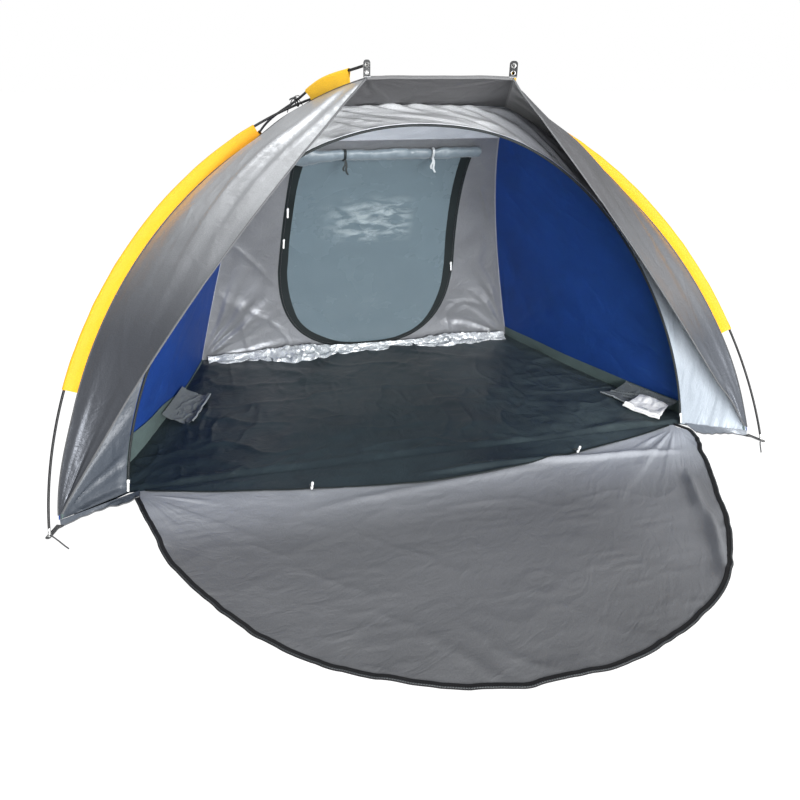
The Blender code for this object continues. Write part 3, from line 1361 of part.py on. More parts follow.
def main():
    for old in list(bpy.data.objects):
        bpy.data.objects.remove(old)
    mats = make_materials()
    tent = bpy.data.objects.new("tent_origin", None)
    bpy.context.collection.objects.link(tent)
    door = bpy.data.objects.new("door_hinge", None)
    door.parent = tent
    door.location = (0.0, 0.0, DOOR_HINGE_HEIGHT)
    bpy.context.collection.objects.link(door)
    build_floor(mats, tent)
    build_rear_lip(mats, tent)
    build_back(mats, tent)
    build_walls(mats, tent)
    build_sleeves(mats, tent)
    build_frame(mats, tent)
    build_straps(mats, tent)
    build_tabs(mats, tent)
    build_door(mats, door)
    build_arch_zip(mats, tent)
    build_door_sliders(mats, tent)
    build_window_sliders(mats, tent)
    build_window_roll(mats, tent)
    build_ties(mats, tent)
    build_pockets(mats, tent)
    centre_on_footprint(tent)
    print_axes()


main()
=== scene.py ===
"""Looks of the beach tent: its cloth, trim, zips, poles and cords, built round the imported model.

Units are metres. The tent's curves are worked out from the middle of the sill and then moved by SHIFT. Folds are
vertex moves along a grid's normals, by noise that is worked out from whole numbers, so each run gives the same cloth.
"""

import math

import bpy
import numpy as np
from mathutils import Matrix, Vector


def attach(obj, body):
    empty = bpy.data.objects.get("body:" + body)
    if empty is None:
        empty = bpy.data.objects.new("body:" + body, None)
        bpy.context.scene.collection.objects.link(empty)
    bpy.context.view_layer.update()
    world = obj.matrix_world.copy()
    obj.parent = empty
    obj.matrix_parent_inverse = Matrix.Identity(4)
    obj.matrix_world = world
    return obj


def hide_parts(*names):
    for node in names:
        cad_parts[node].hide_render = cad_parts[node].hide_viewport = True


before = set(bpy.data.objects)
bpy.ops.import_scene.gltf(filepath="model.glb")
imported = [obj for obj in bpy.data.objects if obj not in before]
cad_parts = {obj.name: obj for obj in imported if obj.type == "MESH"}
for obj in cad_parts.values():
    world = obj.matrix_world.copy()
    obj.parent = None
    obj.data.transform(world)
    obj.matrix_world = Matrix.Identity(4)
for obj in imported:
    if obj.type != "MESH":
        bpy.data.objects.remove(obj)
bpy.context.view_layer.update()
SHIFT = np.array([0.0, -0.0393, 0.0])
MIRROR = np.array([-1.0, 1.0, 1.0])
SIDES = (("left", MIRROR), ("right", np.ones(3)))
UP = np.array([0.0, 0.0, 1.0])

CLOTH = 0.0009
CORD_RADIUS, FOOT_CORD_RADIUS, COIL_RADIUS = 0.0014, 0.0022, 0.0021
POLE_RADIUS, FERRULE_RADIUS, TIP_RADIUS, SLEEVE_RADIUS = 0.00395, 0.0053, 0.0041, 0.0066
WEBBING, EYE_HOLE, EYE_RING, EYE_WIRE = 0.0018, 0.0049, 0.0047, 0.0012
SEAM_GAP = 0.0015

# ---------------------------------------------------------------- the tent's curves, right side

REAR = np.array([0.766, 1.082, 0.0016])
BRIM = np.array([0.223, 0.046, 1.237])
SIDE = (REAR, REAR + (-0.235, -0.060, 0.963), BRIM + (0.222, 0.509, -0.112), BRIM)
CENTRE = np.array([0.0, 0.410, 0.350])
HOOP_X, HOOP_Z, HOOP_ROUND, HOOP_LEAN, HOOP_BACK = 1.237, 1.217, 1.881, 0.525, 0.193
FOOT_EYE = np.array([1.2369, -0.1901, 0.0])
ARCH_X, ARCH_Z, ARCH_LEAN, ARCH_ROUND = 1.026, 1.112, 0.168, 1.592
DOOR_X, DOOR_REACH = 1.000, 1.035
APRON_X, APRON_REACH = 0.990, 0.177
POLE_GAP, SHORT_POLE_GAP, STACK, TAB_RISE = 0.040, 0.045, 0.0118, 0.034
SLEEVE_LOW, SLEEVE_END, SLEEVE_TOP, REAR_SLEEVE_TOP, TOP_FIRST = 0.234, 0.262, 0.893, 0.765, 0.852
WALL_TOP = 1.010
WINDOW_X, WINDOW_HALF, WINDOW_LOW, WINDOW_MIDDLE, WINDOW_TOP = 0.018, 0.412, 0.010, 0.420, 0.957
WINDOW_NARROW, WINDOW_ROUND = 0.052, 2.6


def smooth(v, low, high):
    """A soft step from 0 at low to 1 at high."""
    s = np.clip((np.asarray(v, float) - low) / (high - low), 0.0, 1.0)
    return s * s * (3.0 - 2.0 * s)


def hump(v, at, wide):
    return np.exp(-((v - at) / wide) ** 2)


def unit(v):
    v = np.asarray(v, float)
    return v / np.maximum(np.linalg.norm(v, axis=-1, keepdims=True), 1e-12)


def square_to(vector, *directions):
    """The unit vector that is left when the parts along some directions are taken out, one after the other."""
    for way in directions:
        vector = vector - way * (vector * way).sum(-1, keepdims=True)
    return unit(vector)


def run_of(points):
    """The distance along a path at each of its points."""
    return np.concatenate([[0.0], np.cumsum(np.linalg.norm(np.diff(points, axis=0), axis=1))])


def hoop(angle):
    """The hoop pole, by the angle from its right foot."""
    z = HOOP_Z * np.maximum(np.sin(angle), 0.0) ** (2.0 / HOOP_ROUND)
    x = HOOP_X * np.maximum(np.cos(angle), 0.0) ** (2.0 / HOOP_ROUND)
    return np.stack([x, HOOP_LEAN * z - HOOP_BACK, z], axis=-1)


def hoop_angle(height):
    return math.asin((height / HOOP_Z) ** (HOOP_ROUND / 2.0))


def side(share):
    """The seam under a side pole, from the rear corner to the brim."""
    t = np.asarray(share, float)[..., None]
    a, b, c, d = SIDE
    return a * (1 - t) ** 3 + 3 * b * t * (1 - t) ** 2 + 3 * c * t * t * (1 - t) + d * t**3


def find_crossing():
    shares, angles = np.linspace(0.5, 0.95, 181), np.radians(np.linspace(50.0, 85.0, 281))
    gaps = np.linalg.norm(side(shares)[:, None] - hoop(angles)[None], axis=2)
    i, j = np.unravel_index(gaps.argmin(), gaps.shape)
    return shares[i], angles[j]


CROSS_SHARE, CROSS_ANGLE = find_crossing()
CROSS_SEAM, CROSS_HOOP = side(CROSS_SHARE), hoop(CROSS_ANGLE)
HOOP_WAY = unit(hoop(CROSS_ANGLE + 0.01) - hoop(CROSS_ANGLE - 0.01))
FOOT_ANGLE = hoop_angle(0.021)


def hoop_seam(share):
    """The seam under the hoop, from its right foot to the crossing."""
    share = np.asarray(share, float)
    angle = FOOT_ANGLE + (CROSS_ANGLE - FOOT_ANGLE) * share
    pole = hoop(angle)
    step = math.radians(0.5)
    along = unit(hoop(angle + step) - hoop(np.maximum(angle - step, 0.0)))
    centre = np.array([0.0, HOOP_LEAN * CENTRE[2] - HOOP_BACK, CENTRE[2]])
    inward = square_to(centre - pole, along)
    foot = (1.0 - smooth(share, 0.0, SLEEVE_LOW))[..., None]
    top = smooth(share, TOP_FIRST, 1.0)[..., None]
    middle = inward * POLE_GAP * (1.0 - foot) + np.array([-0.020, 0.044, 0.0]) * foot
    return pole + middle * (1.0 - top) + (CROSS_SEAM - CROSS_HOOP) * top


def side_pole(share):
    """A side pole, which passes over the hoop at the crossing and ends in the brim's tab."""
    share = np.asarray(share, float)
    seam = side(share)
    along = unit(side(np.minimum(share + 0.01, 1.0)) - side(np.maximum(share - 0.01, 0.0)))
    outward = square_to(seam - CENTRE, along)
    across = unit(np.cross(HOOP_WAY, along))
    at_crossing = CROSS_HOOP - CROSS_SEAM + across * np.sign(across[..., 2:]) * STACK
    reach = np.where(share < CROSS_SHARE, POLE_GAP, SHORT_POLE_GAP)[..., None]
    near = (1.0 - smooth(np.abs(share - CROSS_SHARE), 0.0, 0.16))[..., None]
    tab = smooth(share, 0.80, 1.0)[..., None]
    free = outward * reach * (1.0 - tab) + UP * TAB_RISE * tab
    return seam + free * (1.0 - near) + at_crossing * near


FOOT = hoop_seam(0.0)


def floor_side(t):
    """The ground sheet's right edge, from the rear corner to the hoop's foot."""
    t = np.asarray(t, float)[..., None]
    p = REAR * (1 - t) ** 2 + 2 * np.array([0.980, 0.200, REAR[2]]) * t * (1 - t) + FOOT * t * t
    p[..., 2] = REAR[2] + (FOOT[2] - REAR[2]) * smooth(t[..., 0], 0.8, 1.0)
    return p


def hem(s):
    """The free front edge of a hood wing."""
    s = np.asarray(s, float)[..., None]
    return FOOT + (BRIM - FOOT) * s + np.array([0.003, 0.060, 0.055]) * 4.0 * s * (1.0 - s)


def arch(turn):
    """The doorway's arch, from -1 at its left foot to 1 at its right foot."""
    out = np.sin(np.asarray(turn, float) * math.pi / 2)
    z = ARCH_Z * np.maximum(1.0 - out * out, 0.0) ** (1.0 / ARCH_ROUND)
    z = np.maximum(z - 0.015 * hump(out, 0.04, 0.24) + 0.012 * hump(out, -0.42, 0.14), 0.003)
    return np.stack([ARCH_X * out, ARCH_LEAN * z, z], axis=-1)


SHOULDER = math.asin(CROSS_SEAM[0] / ARCH_X) / (math.pi / 2)
ARCH_FACING = unit([0.0, -1.0, ARCH_LEAN])


def roof_seam(c):
    """The seam across the roof, from -1 at the left crossing to 1 at the right one."""
    c = np.asarray(c, float)
    return np.stack([CROSS_SEAM[0] * c, 0 * c + CROSS_SEAM[1], CROSS_SEAM[2] + 0.010 * (1 - c * c)], axis=-1)


WALL = side(np.linspace(0.0, CROSS_SHARE, 300))
BACK_SHARE = float(np.interp(WALL_TOP, side(np.linspace(0.0, CROSS_SHARE, 2000))[:, 2],
                             np.linspace(0.0, CROSS_SHARE, 2000)))


def wall_y(z):
    return np.interp(z, WALL[:, 2], WALL[:, 1])


def wall_facing(z):
    """The way that the back wall faces, into the tent."""
    up = unit(np.stack([0 * z, wall_y(z + 0.02) - wall_y(z), 0 * z + 0.02], axis=-1))
    return np.stack([0 * z, -up[..., 2], up[..., 1]], axis=-1)


def inside_window(x, z, shrink):
    """Whether places on the back wall are inside the window's outline, drawn in by a distance."""
    half, low, top = WINDOW_HALF - shrink, WINDOW_LOW + shrink, WINDOW_TOP - shrink
    x = np.abs(x - WINDOW_X)
    upper = half - WINDOW_NARROW * (z - WINDOW_MIDDLE) / (WINDOW_TOP - WINDOW_MIDDLE)
    fall = np.clip((WINDOW_MIDDLE - z) / (WINDOW_MIDDLE - low), 0, 1)
    lower = half * np.maximum(1 - fall**WINDOW_ROUND, 0) ** (1 / WINDOW_ROUND)
    return (z < top) & (z > low) & (x < np.where(z >= WINDOW_MIDDLE, upper, lower))


# ---------------------------------------------------------------- noise for folds and creases


def cell_value(ix, iy, seed):
    """A value from 0 to 1 for each cell of a grid, by a fixed hash."""
    n = (ix * 374761393 + iy * 668265263 + seed * 1274126177) & 0xFFFFFFFF
    n = ((n ^ (n >> 13)) * 1103515245) & 0xFFFFFFFF
    n = ((n ^ (n >> 15)) * 2246822519) & 0xFFFFFFFF
    return ((n ^ (n >> 16)) & 0xFFFFFF) / 0xFFFFFF


def noise(u, v, seed):
    """Smooth value noise from -1 to 1."""
    u, v = np.asarray(u, float), np.asarray(v, float)
    iu, iv = np.floor(u).astype(np.int64), np.floor(v).astype(np.int64)
    fu, fv = u - iu, v - iv
    su, sv = fu**3 * (fu * (fu * 6 - 15) + 10), fv**3 * (fv * (fv * 6 - 15) + 10)
    a, b = cell_value(iu, iv, seed), cell_value(iu + 1, iv, seed)
    c, d = cell_value(iu, iv + 1, seed), cell_value(iu + 1, iv + 1, seed)
    return ((a * (1 - su) + b * su) * (1 - sv) + (c * (1 - su) + d * su) * sv) * 2.0 - 1.0


def line_noise(v, seed):
    return noise(v, 0 * v, seed)


def fbm(u, v, octaves, seed):
    """Noise of several sizes."""
    return sum(noise(u * 2**k + 7.3 * k, v * 2**k - 3.1 * k, seed + k) * 0.5**k for k in range(octaves)) / 1.6


def creases(u, v, seed, sharp=2.0):
    """Sharp creases with flat cloth between them, from 0 to 1."""
    return np.clip(1.0 - np.abs(fbm(u, v, 2, seed)), 0, 1) ** (4.0 * sharp)


def signed_power(v, power):
    return np.sign(v) * np.abs(v) ** power


def ray_folds(across, up, row, column, count, reach, seed, start=0.03):
    """Folds that fan out from one point of the cloth, from -1 to 1."""
    x, y = across - across[row, column], up - up[row, column]
    far = np.hypot(x, y)
    turn = np.arctan2(y, x) + 0.05 * line_noise(far * 9, seed + 5)
    wave = signed_power(noise(turn * count, far * 1.3, seed), 0.8)
    return wave * smooth(far, 0.0, start) * hump(far, 0.0, reach) * np.minimum(far / 0.10, 1.0)


def fans(across, up, *rows):
    """Several fans of folds together; each row is a height and then what ray_folds takes."""
    return sum(height * ray_folds(across, up, *rest) for height, *rest in rows)


def lengths(grid):
    """Places of a grid's points on the flat cloth, in metres, from the cloth's middle."""
    across = np.zeros(grid.shape[:2])
    across[:, 1:] = np.cumsum(np.linalg.norm(np.diff(grid, axis=1), axis=2), axis=1)
    across -= across[:, -1:] / 2
    up = np.zeros(grid.shape[:2])
    up[1:] = np.cumsum(np.linalg.norm(np.diff(grid, axis=0), axis=2), axis=0)
    return across, up


def normals(grid, way=None):
    """A grid's normals, turned to one side where a way is given."""
    out = unit(np.cross(np.gradient(grid, axis=0), np.gradient(grid, axis=1)))
    return out if way is None else out * np.sign((out * np.array(way)).sum(-1, keepdims=True))


def edge_mask(grid, fade, rows=(True, True), columns=(True, True)):
    """Zero at the chosen edges and one further in than fade."""
    across, up = lengths(grid)
    mask = np.ones(grid.shape[:2])
    gaps = (across - across[:, :1], across[:, -1:] - across, up, up[-1:] - up)
    for wanted, gap in zip((*columns, *rows), gaps):
        if wanted:
            mask = mask * smooth(gap, 0.0, fade)
    return mask


# ---------------------------------------------------------------- materials


def add_node(tree, kind, inputs=None, **settings):
    """A new node; inputs gives its sockets, by name or place, a value or another node's output."""
    made = tree.nodes.new(kind)
    for key, value in settings.items():
        setattr(made, key, value)
    for key, value in (inputs or {}).items():
        socket = made.inputs[key]
        if isinstance(value, bpy.types.NodeSocket):
            tree.links.new(value, socket)
        else:
            socket.default_value = (*value, 1) if socket.type == "RGBA" else value
    return made


class Look:
    """A material and the shader nodes that most looks share."""

    def __init__(self, name):
        self.material = bpy.data.materials.new(name)
        self.material.use_nodes = True
        self.tree = self.material.node_tree
        self.shader = next(n for n in self.tree.nodes if n.type == "BSDF_PRINCIPLED")
        self.normal = None

    def node(self, kind, inputs=None, **settings):
        return add_node(self.tree, kind, inputs, **settings)

    def place(self, kind="UV", scale=(1, 1, 1), turn=0.0):
        coord = self.node("ShaderNodeTexCoord").outputs[kind]
        inputs = {"Vector": coord, "Scale": scale, "Rotation": (0, 0, turn)}
        return self.node("ShaderNodeMapping", inputs).outputs["Vector"]

    def noise(self, size, detail=3.0, stretch=(1, 1, 1), kind="UV", distortion=0.0):
        inputs = {"Scale": 1.0 / size, "Detail": detail, "Roughness": 0.55, "Distortion": distortion,
                  "Vector": self.place(kind, stretch)}
        return self.node("ShaderNodeTexNoise", inputs).outputs["Fac"]

    def ribs(self, scale, direction="X", turn=0.0, **inputs):
        """Bands across the cloth's places."""
        inputs = {"Scale": scale, "Vector": self.place(turn=turn), **inputs}
        return self.node("ShaderNodeTexWave", inputs, wave_type="BANDS", bands_direction=direction).outputs["Fac"]

    def weave(self, pitch):
        """Crossed threads."""
        loose = {"Distortion": 0.6, "Detail": 1.0, "Detail Scale": 2.0}
        threads = [self.ribs(rib_scale(pitch), turn=turn, **loose) for turn in (0.0, math.pi / 2)]
        return self.maths("MAXIMUM", *threads)

    def maths(self, operation, *values):
        return self.node("ShaderNodeMath", dict(enumerate(values)), operation=operation).outputs[0]

    def ramp(self, fac, low, high, from_low=0.3, from_high=0.7):
        """Two colours mixed by a value."""
        made = self.node("ShaderNodeValToRGB", {"Fac": fac})
        for element, position, colour in zip(made.color_ramp.elements, (from_low, from_high), (low, high)):
            element.position, element.color = position, (*colour, 1)
        return made.outputs["Color"]

    def mix(self, fac, a, b, blend="MIX"):
        inputs = {0: fac, 6: a, 7: b}
        return self.node("ShaderNodeMix", inputs, data_type="RGBA", blend_type=blend).outputs[2]

    def along(self, *ranges):
        """From 0 to 1 along the tent's axes: the product of soft steps, each an axis, its low and its high."""
        total = None
        for axis, low, high in ranges:
            parts = self.node("ShaderNodeSeparateXYZ", {0: self.node("ShaderNodeTexCoord").outputs["Object"]})
            inputs = {"From Min": low, "From Max": high, "Value": parts.outputs["XYZ".index(axis)]}
            step = self.node("ShaderNodeMapRange", inputs, interpolation_type="SMOOTHSTEP").outputs["Result"]
            total = self.maths("MULTIPLY", total, step) if total else step
        return total

    def bump(self, height, distance, strength):
        """One more layer of relief on those before it."""
        inputs = {"Distance": distance, "Strength": strength, "Height": height}
        if self.normal:
            inputs["Normal"] = self.normal
        self.normal = self.node("ShaderNodeBump", inputs).outputs["Normal"]
        self.tree.links.new(self.normal, self.shader.inputs["Normal"])

    def surface(self, colour, fac, rough, **values):
        """The shader's colour, its roughness from low to high by a value, and values for its other sockets."""
        inputs = {"To Min": rough[0], "To Max": rough[1], "Value": fac}
        roughness = self.node("ShaderNodeMapRange", inputs).outputs["Result"]
        self.tree.links.new(colour, self.shader.inputs["Base Color"])
        self.tree.links.new(roughness, self.shader.inputs["Roughness"])
        for key, value in values.items():
            self.shader.inputs[key.replace("_", " ")].default_value = value


def rib_scale(pitch):
    return 1.0 / pitch / 20.0 * math.pi


def cloth_look(name, colour, vary, rough, metallic=0.0, crinkle=0.0012, thread=0.0011, tint=None, sheen=0.25,
               spec=0.5, stretch=(1, 1, 1), through=0.0, painted_light_and_wear=None, fades=(), patch=None, painted_light_and_shade=(), **more):
    """Coated woven cloth: broad change of tone, flecks, small creases and threads.

    The colour turns to a second colour along fades, in clouds where patch gives their size, and each entry of the list
    of factors has the ranges where it darkens or lightens the colour and its factor: both paint light and shade onto
    the cloth, and the clouds paint a glare highlight. Through is the share of light that scatters in the cloth.
    """
    look = Look(name)
    dark = tuple(c * (1 - vary) for c in colour)
    light = tuple(min(c * (1 + vary), 1.0) for c in tint or colour)
    broad = look.noise(0.22, 4.0, stretch, distortion=0.4)
    base = look.ramp(broad, dark, light)
    # Painted light and shade: along fades the colour ramps to a lighter or darker colour, and the patch clouds paint a
    # glare highlight.
    if painted_light_and_wear:
        share = look.along(*fades)
        if patch:
            cloud = look.maths("MULTIPLY_ADD", look.noise(patch, 3.0, (1.0, 2.6, 1.0), distortion=0.5), 5.0, -2.2)
            share = look.maths("MULTIPLY", share, look.maths("MINIMUM", look.maths("MAXIMUM", cloud, 0.0), 1.0))
        base = look.mix(share, base, painted_light_and_wear)
    # Painted light and shade: each factor darkens or lightens the colour over its ranges.
    for ranges, factor in painted_light_and_shade:
        base = look.mix(look.along(*ranges), base, factor, "MULTIPLY")
    speck = look.ramp(look.noise(0.0035, 2.0), (0.90, 0.90, 0.90), (1.06, 1.06, 1.06), 0.35, 0.65)
    values = dict(Metallic=metallic, Sheen_Weight=sheen, Sheen_Roughness=0.4, Specular_IOR_Level=spec, Alpha=1.0,
                  Subsurface_Weight=through, Subsurface_Radius=(1.0, 1.0, 1.0), Subsurface_Scale=0.004)
    look.surface(look.mix(1.0, base, speck, "MULTIPLY"), broad, rough, **{**values, **more})
    look.bump(look.noise(0.085, 4.0, stretch, distortion=1.2), crinkle * 5.0, 0.55)
    look.bump(look.noise(0.011, 3.0, stretch), crinkle, 0.5)
    look.bump(look.weave(thread), 0.00012, 0.6)
    return look


def cloth_looks():
    """Every cloth, by its key: its material's name, colour, change of tone, roughness, metal, crinkle and extras."""
    yellow = dict(sheen=0.0, spec=0.3, stretch=(1.0, 0.4, 1.0))
    lining = (0.46, 0.60)
    plain = (0.50, 0.62)
    return {
        "silver": cloth_look("silver_outer_cloth", (0.29, 0.30, 0.32), 0.10, (0.30, 0.46), 0.50, 0.0013, sheen=0.10,
                             through=0.3),
        # The two wings are lit and shaded copies of one cloth. The left one is light: a painted highlight at its top
        # that turns to painted shade towards its foot.
        "wing_left": cloth_look("left_wing_cloth", (0.50, 0.51, 0.525), 0.10, (0.28, 0.44), 0.55, 0.0013, sheen=0.0,
                                fades=[("Z", 1.16, 0.48)], painted_light_and_wear=(0.072, 0.077, 0.089)),
        # The right wing is a darker, shaded copy: painted shade at its top, painted light lower down and painted shade
        # again near its foot.
        "wing_right": cloth_look("right_wing_cloth", (0.150, 0.150, 0.158), 0.10, (0.30, 0.46), 0.50, 0.0013,
                                 sheen=0.0, fades=[("Z", 0.95, 0.60)], painted_light_and_wear=(0.205, 0.211, 0.225),
                                 painted_light_and_shade=[([("Z", 1.02, 1.16)], (0.80, 0.80, 0.81)),
                                        ([("Z", 0.56, 0.34)], (0.58, 0.61, 0.66))]),
        # The doorway wall is a bright copy of the silver cloth, painted light for light through the cloth, with painted
        # shade below the header, at its lower left and on the header's right under the hood.
        "silver_in": cloth_look("silver_wall_cloth", (0.82, 0.84, 0.87), 0.06, (0.34, 0.50), 0.10, 0.0013, sheen=0.0,
                                painted_light_and_shade=[([("Z", 1.02, 0.62)], (0.42, 0.46, 0.50)),
                                       ([("Z", 1.02, 0.62), ("X", 0.30, -0.30)], (0.17, 0.18, 0.20)),
                                       ([("Z", 0.72, 0.92), ("X", 0.18, 0.40)], (0.38, 0.38, 0.40))]),
        # The right skirt's copy of the wall cloth is darker: painted shade that holds down its lit brightness.
        "foot": cloth_look("foot_wall_cloth", (0.235, 0.255, 0.285), 0.10, (0.34, 0.50), 0.35, 0.0013, sheen=0.0),
        # The back wall is a bright copy of the silver cloth, painted light for light through the cloth, with painted
        # shade on its right side and a strip along its top left lighter than the wall below it, painted light.
        "back": cloth_look("back_wall_cloth", (0.84, 0.91, 1.00), 0.06, lining, 0.0, 0.0011, sheen=0.0,
                           painted_light_and_shade=[([("X", 0.12, 0.42)], (0.66, 0.69, 0.74)),
                                  ([("Z", 1.005, 0.965)], (0.90, 0.90, 0.91))]),
        # The roof lining is a darker copy than the back wall: painted shade.
        "roof": cloth_look("roof_lining_cloth", (0.50, 0.53, 0.58), 0.06, lining, 0.0, 0.0011, sheen=0.0,
                           through=0.6),
        # The hood and awning linings are dark partly as the cloth's dark inner face and partly as painted shade.
        "hood": cloth_look("hood_lining_cloth", (0.105, 0.106, 0.110), 0.10, (0.50, 0.66), 0.0, 0.0010),
        "awning": cloth_look("awning_lining_cloth", (0.108, 0.108, 0.113), 0.08, (0.60, 0.75), 0.0, 0.0008,
                             sheen=0.0, spec=0.3),
        # The door is lighter near the sill and towards its right and darker at its far edge and towards its left:
        # painted light and shade, with the sheen near the sill painted in.
        "door": cloth_look("door_cloth", (0.370, 0.385, 0.420), 0.08, (0.44, 0.60), 0.15, 0.0012, sheen=0.0,
                           fades=[("Y", -0.06, -0.46)], painted_light_and_wear=(0.118, 0.121, 0.129),
                           painted_light_and_shade=[([("X", 0.30, 0.70)], (1.30, 1.31, 1.33)),
                                  ([("Y", -0.70, -1.02)], (0.84, 0.84, 0.84)),
                                  ([("X", 0.05, -0.60)], (0.92, 0.92, 0.92))]),
        "blue": cloth_look("blue_wall_cloth", (0.011, 0.048, 0.235), 0.14, (0.55, 0.70), 0.0, 0.0008, sheen=0.0,
                           spec=0.22, through=0.3),
        "yellow": cloth_look("yellow_sleeve_cloth", (0.82, 0.360, 0.010), 0.05, (0.52, 0.66), 0.0, 0.0010, **yellow),
        # A lighter copy of the yellow cloth for the short sleeves: painted light.
        "yellow_top": cloth_look("short_sleeve_cloth", (0.93, 0.54, 0.030), 0.05, (0.52, 0.66), 0.0, 0.0010,
                                 **yellow),
        # The ground sheet is lighter towards its right: painted light.
        "floor": cloth_look("ground_sheet", (0.019, 0.029, 0.036), 0.22, (0.40, 0.56), 0.0, 0.0014, thread=0.0022,
                            tint=(0.022, 0.034, 0.040), sheen=0.0, spec=0.35,
                            painted_light_and_shade=[([("X", 0.15, 0.75)], (2.5, 2.2, 2.0))]),
        "band": cloth_look("floor_band_cloth", (0.100, 0.140, 0.136), 0.20, (0.34, 0.50), 0.0, 0.0012, sheen=0.05),
        "black": cloth_look("black_binding", (0.005, 0.005, 0.006), 0.20, (0.60, 0.75), 0.0, 0.0006, thread=0.0013,
                            sheen=0.03, spec=0.25),
        "tape": cloth_look("zip_tape", (0.012, 0.017, 0.018), 0.18, (0.54, 0.70), 0.0, 0.0006, thread=0.0014,
                           sheen=0.03, spec=0.3),
        "hem": cloth_look("hem_cloth", (0.085, 0.088, 0.094), 0.12, (0.50, 0.66), 0.0, 0.0005),
        "seam": cloth_look("seam_tape", (0.30, 0.31, 0.35), 0.10, plain, 0.0, 0.0005),
        "seam_dark": cloth_look("dark_seam_tape", (0.050, 0.052, 0.056), 0.12, (0.50, 0.66), 0.0, 0.0005),
        "thread": cloth_look("sewing_thread", (0.55, 0.56, 0.58), 0.10, (0.50, 0.60), 0.0, 0.0004),
        "roll": cloth_look("flap_roll_cloth", (0.165, 0.205, 0.235), 0.20, (0.30, 0.46), 0.0, 0.0012),
        "pale_tie": cloth_look("white_tie_cloth", (0.42, 0.45, 0.47), 0.08, plain, 0.0, 0.0005),
        # The pale clouds on the film are a painted glare highlight.
        "film": cloth_look("window_film_sheet", (0.135, 0.188, 0.220), 0.04, (0.20, 0.34), 0.0, 0.0002,
                           thread=0.0030, sheen=0.0, painted_light_and_wear=(0.36, 0.43, 0.46), patch=0.085,
                           fades=[("X", -0.26, -0.02), ("X", 0.22, 0.14), ("Z", 0.53, 0.59), ("Z", 0.78, 0.68)],
                           Alpha=0.86, Coat_Weight=0.35, Coat_Roughness=0.18, Specular_IOR_Level=0.6),
        "pocket": cloth_look("pocket_cloth", (0.17, 0.19, 0.20), 0.16, (0.30, 0.50), 0.0, 0.0012, thread=0.0026,
                             Alpha=0.62),
        "pocket_hem": cloth_look("pocket_hem_cloth", (0.30, 0.33, 0.34), 0.12, (0.35, 0.50), 0.0, 0.0006),
        "flap": cloth_look("pocket_flap_cloth", (0.97, 0.98, 0.99), 0.06, (0.18, 0.32), 0.05, 0.0012),
    }


def hard_looks():
    """Foil, poles, metal, plastic, cord, zip coil and webbing, by their keys."""
    foil = Look("silver_foil")
    folds = foil.noise(0.020, 5.0, distortion=1.5)
    foil.surface(foil.ramp(foil.noise(0.06, 4.0), (0.52, 0.55, 0.57), (0.86, 0.89, 0.90), 0.35, 0.62), folds,
                 (0.16, 0.36), Metallic=0.45, Specular_IOR_Level=0.6)
    foil.bump(folds, 0.006, 0.8)
    foil.bump(foil.noise(0.006, 3.0), 0.0009, 0.7)
    pole = Look("black_fibreglass")
    streak = pole.noise(0.012, 4.0, (0.05, 1.0, 1.0))
    pole.surface(pole.ramp(streak, (0.006, 0.006, 0.007), (0.014, 0.014, 0.015)), streak, (0.40, 0.55),
                 Coat_Weight=0.1, Coat_Roughness=0.3, Specular_IOR_Level=0.3)
    pole.bump(streak, 0.0003, 0.6)
    metal = Look("ferrule_metal")
    brushed = metal.noise(0.004, 4.0, (0.08, 1.0, 1.0), kind="Object")
    metal.surface(metal.ramp(brushed, (0.42, 0.42, 0.41), (0.66, 0.66, 0.65)), brushed, (0.24, 0.42), Metallic=1.0)
    metal.bump(brushed, 0.0001, 0.5)
    plastic = Look("white_plastic")
    cloud = plastic.noise(0.006, 3.0, kind="Object")
    plastic.surface(plastic.ramp(cloud, (0.74, 0.75, 0.74), (0.86, 0.87, 0.87)), cloud, (0.30, 0.44),
                    Specular_IOR_Level=0.5)
    plastic.bump(cloud, 0.0002, 0.4)
    cord = Look("black_cord")
    twist = cord.ribs(55.0, "DIAGONAL")
    cord.surface(cord.ramp(twist, (0.010, 0.010, 0.012), (0.032, 0.033, 0.036), 0.2, 0.8), twist, (0.55, 0.75),
                 Sheen_Weight=0.3)
    cord.bump(twist, 0.0006, 0.8)
    coil = Look("zip_coil")
    teeth = coil.ribs(rib_scale(0.0030))
    coil.surface(coil.ramp(teeth, (0.006, 0.007, 0.008), (0.040, 0.046, 0.050), 0.2, 0.8), teeth, (0.34, 0.5))
    coil.bump(teeth, 0.0010, 0.9)
    webbing = Look("black_webbing")
    rib, painted_light_and_wear = webbing.ribs(rib_scale(0.0022), "DIAGONAL"), webbing.noise(0.010, 4.0)
    share = webbing.maths("MULTIPLY", rib, painted_light_and_wear)
    webbing.surface(webbing.mix(share, (0.010, 0.011, 0.012), (0.050, 0.052, 0.055)), painted_light_and_wear, (0.58, 0.78),
                    Sheen_Weight=0.3)
    webbing.bump(rib, 0.0006, 0.8)
    return dict(foil=foil, pole=pole, metal=metal, plastic=plastic, cord=cord, coil=coil, webbing=webbing)


LOOKS = {**cloth_looks(), **hard_looks()}

# ---------------------------------------------------------------- mesh building


def linked(name, data):
    obj = bpy.data.objects.new(name, data)
    bpy.context.scene.collection.objects.link(obj)
    return obj


def keep_piece(obj, body="tent", nodes=()):
    """Let a piece ride its body and let it stand for its CAD nodes."""
    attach(obj, body)
    if nodes:
        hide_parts(*nodes)
    return obj


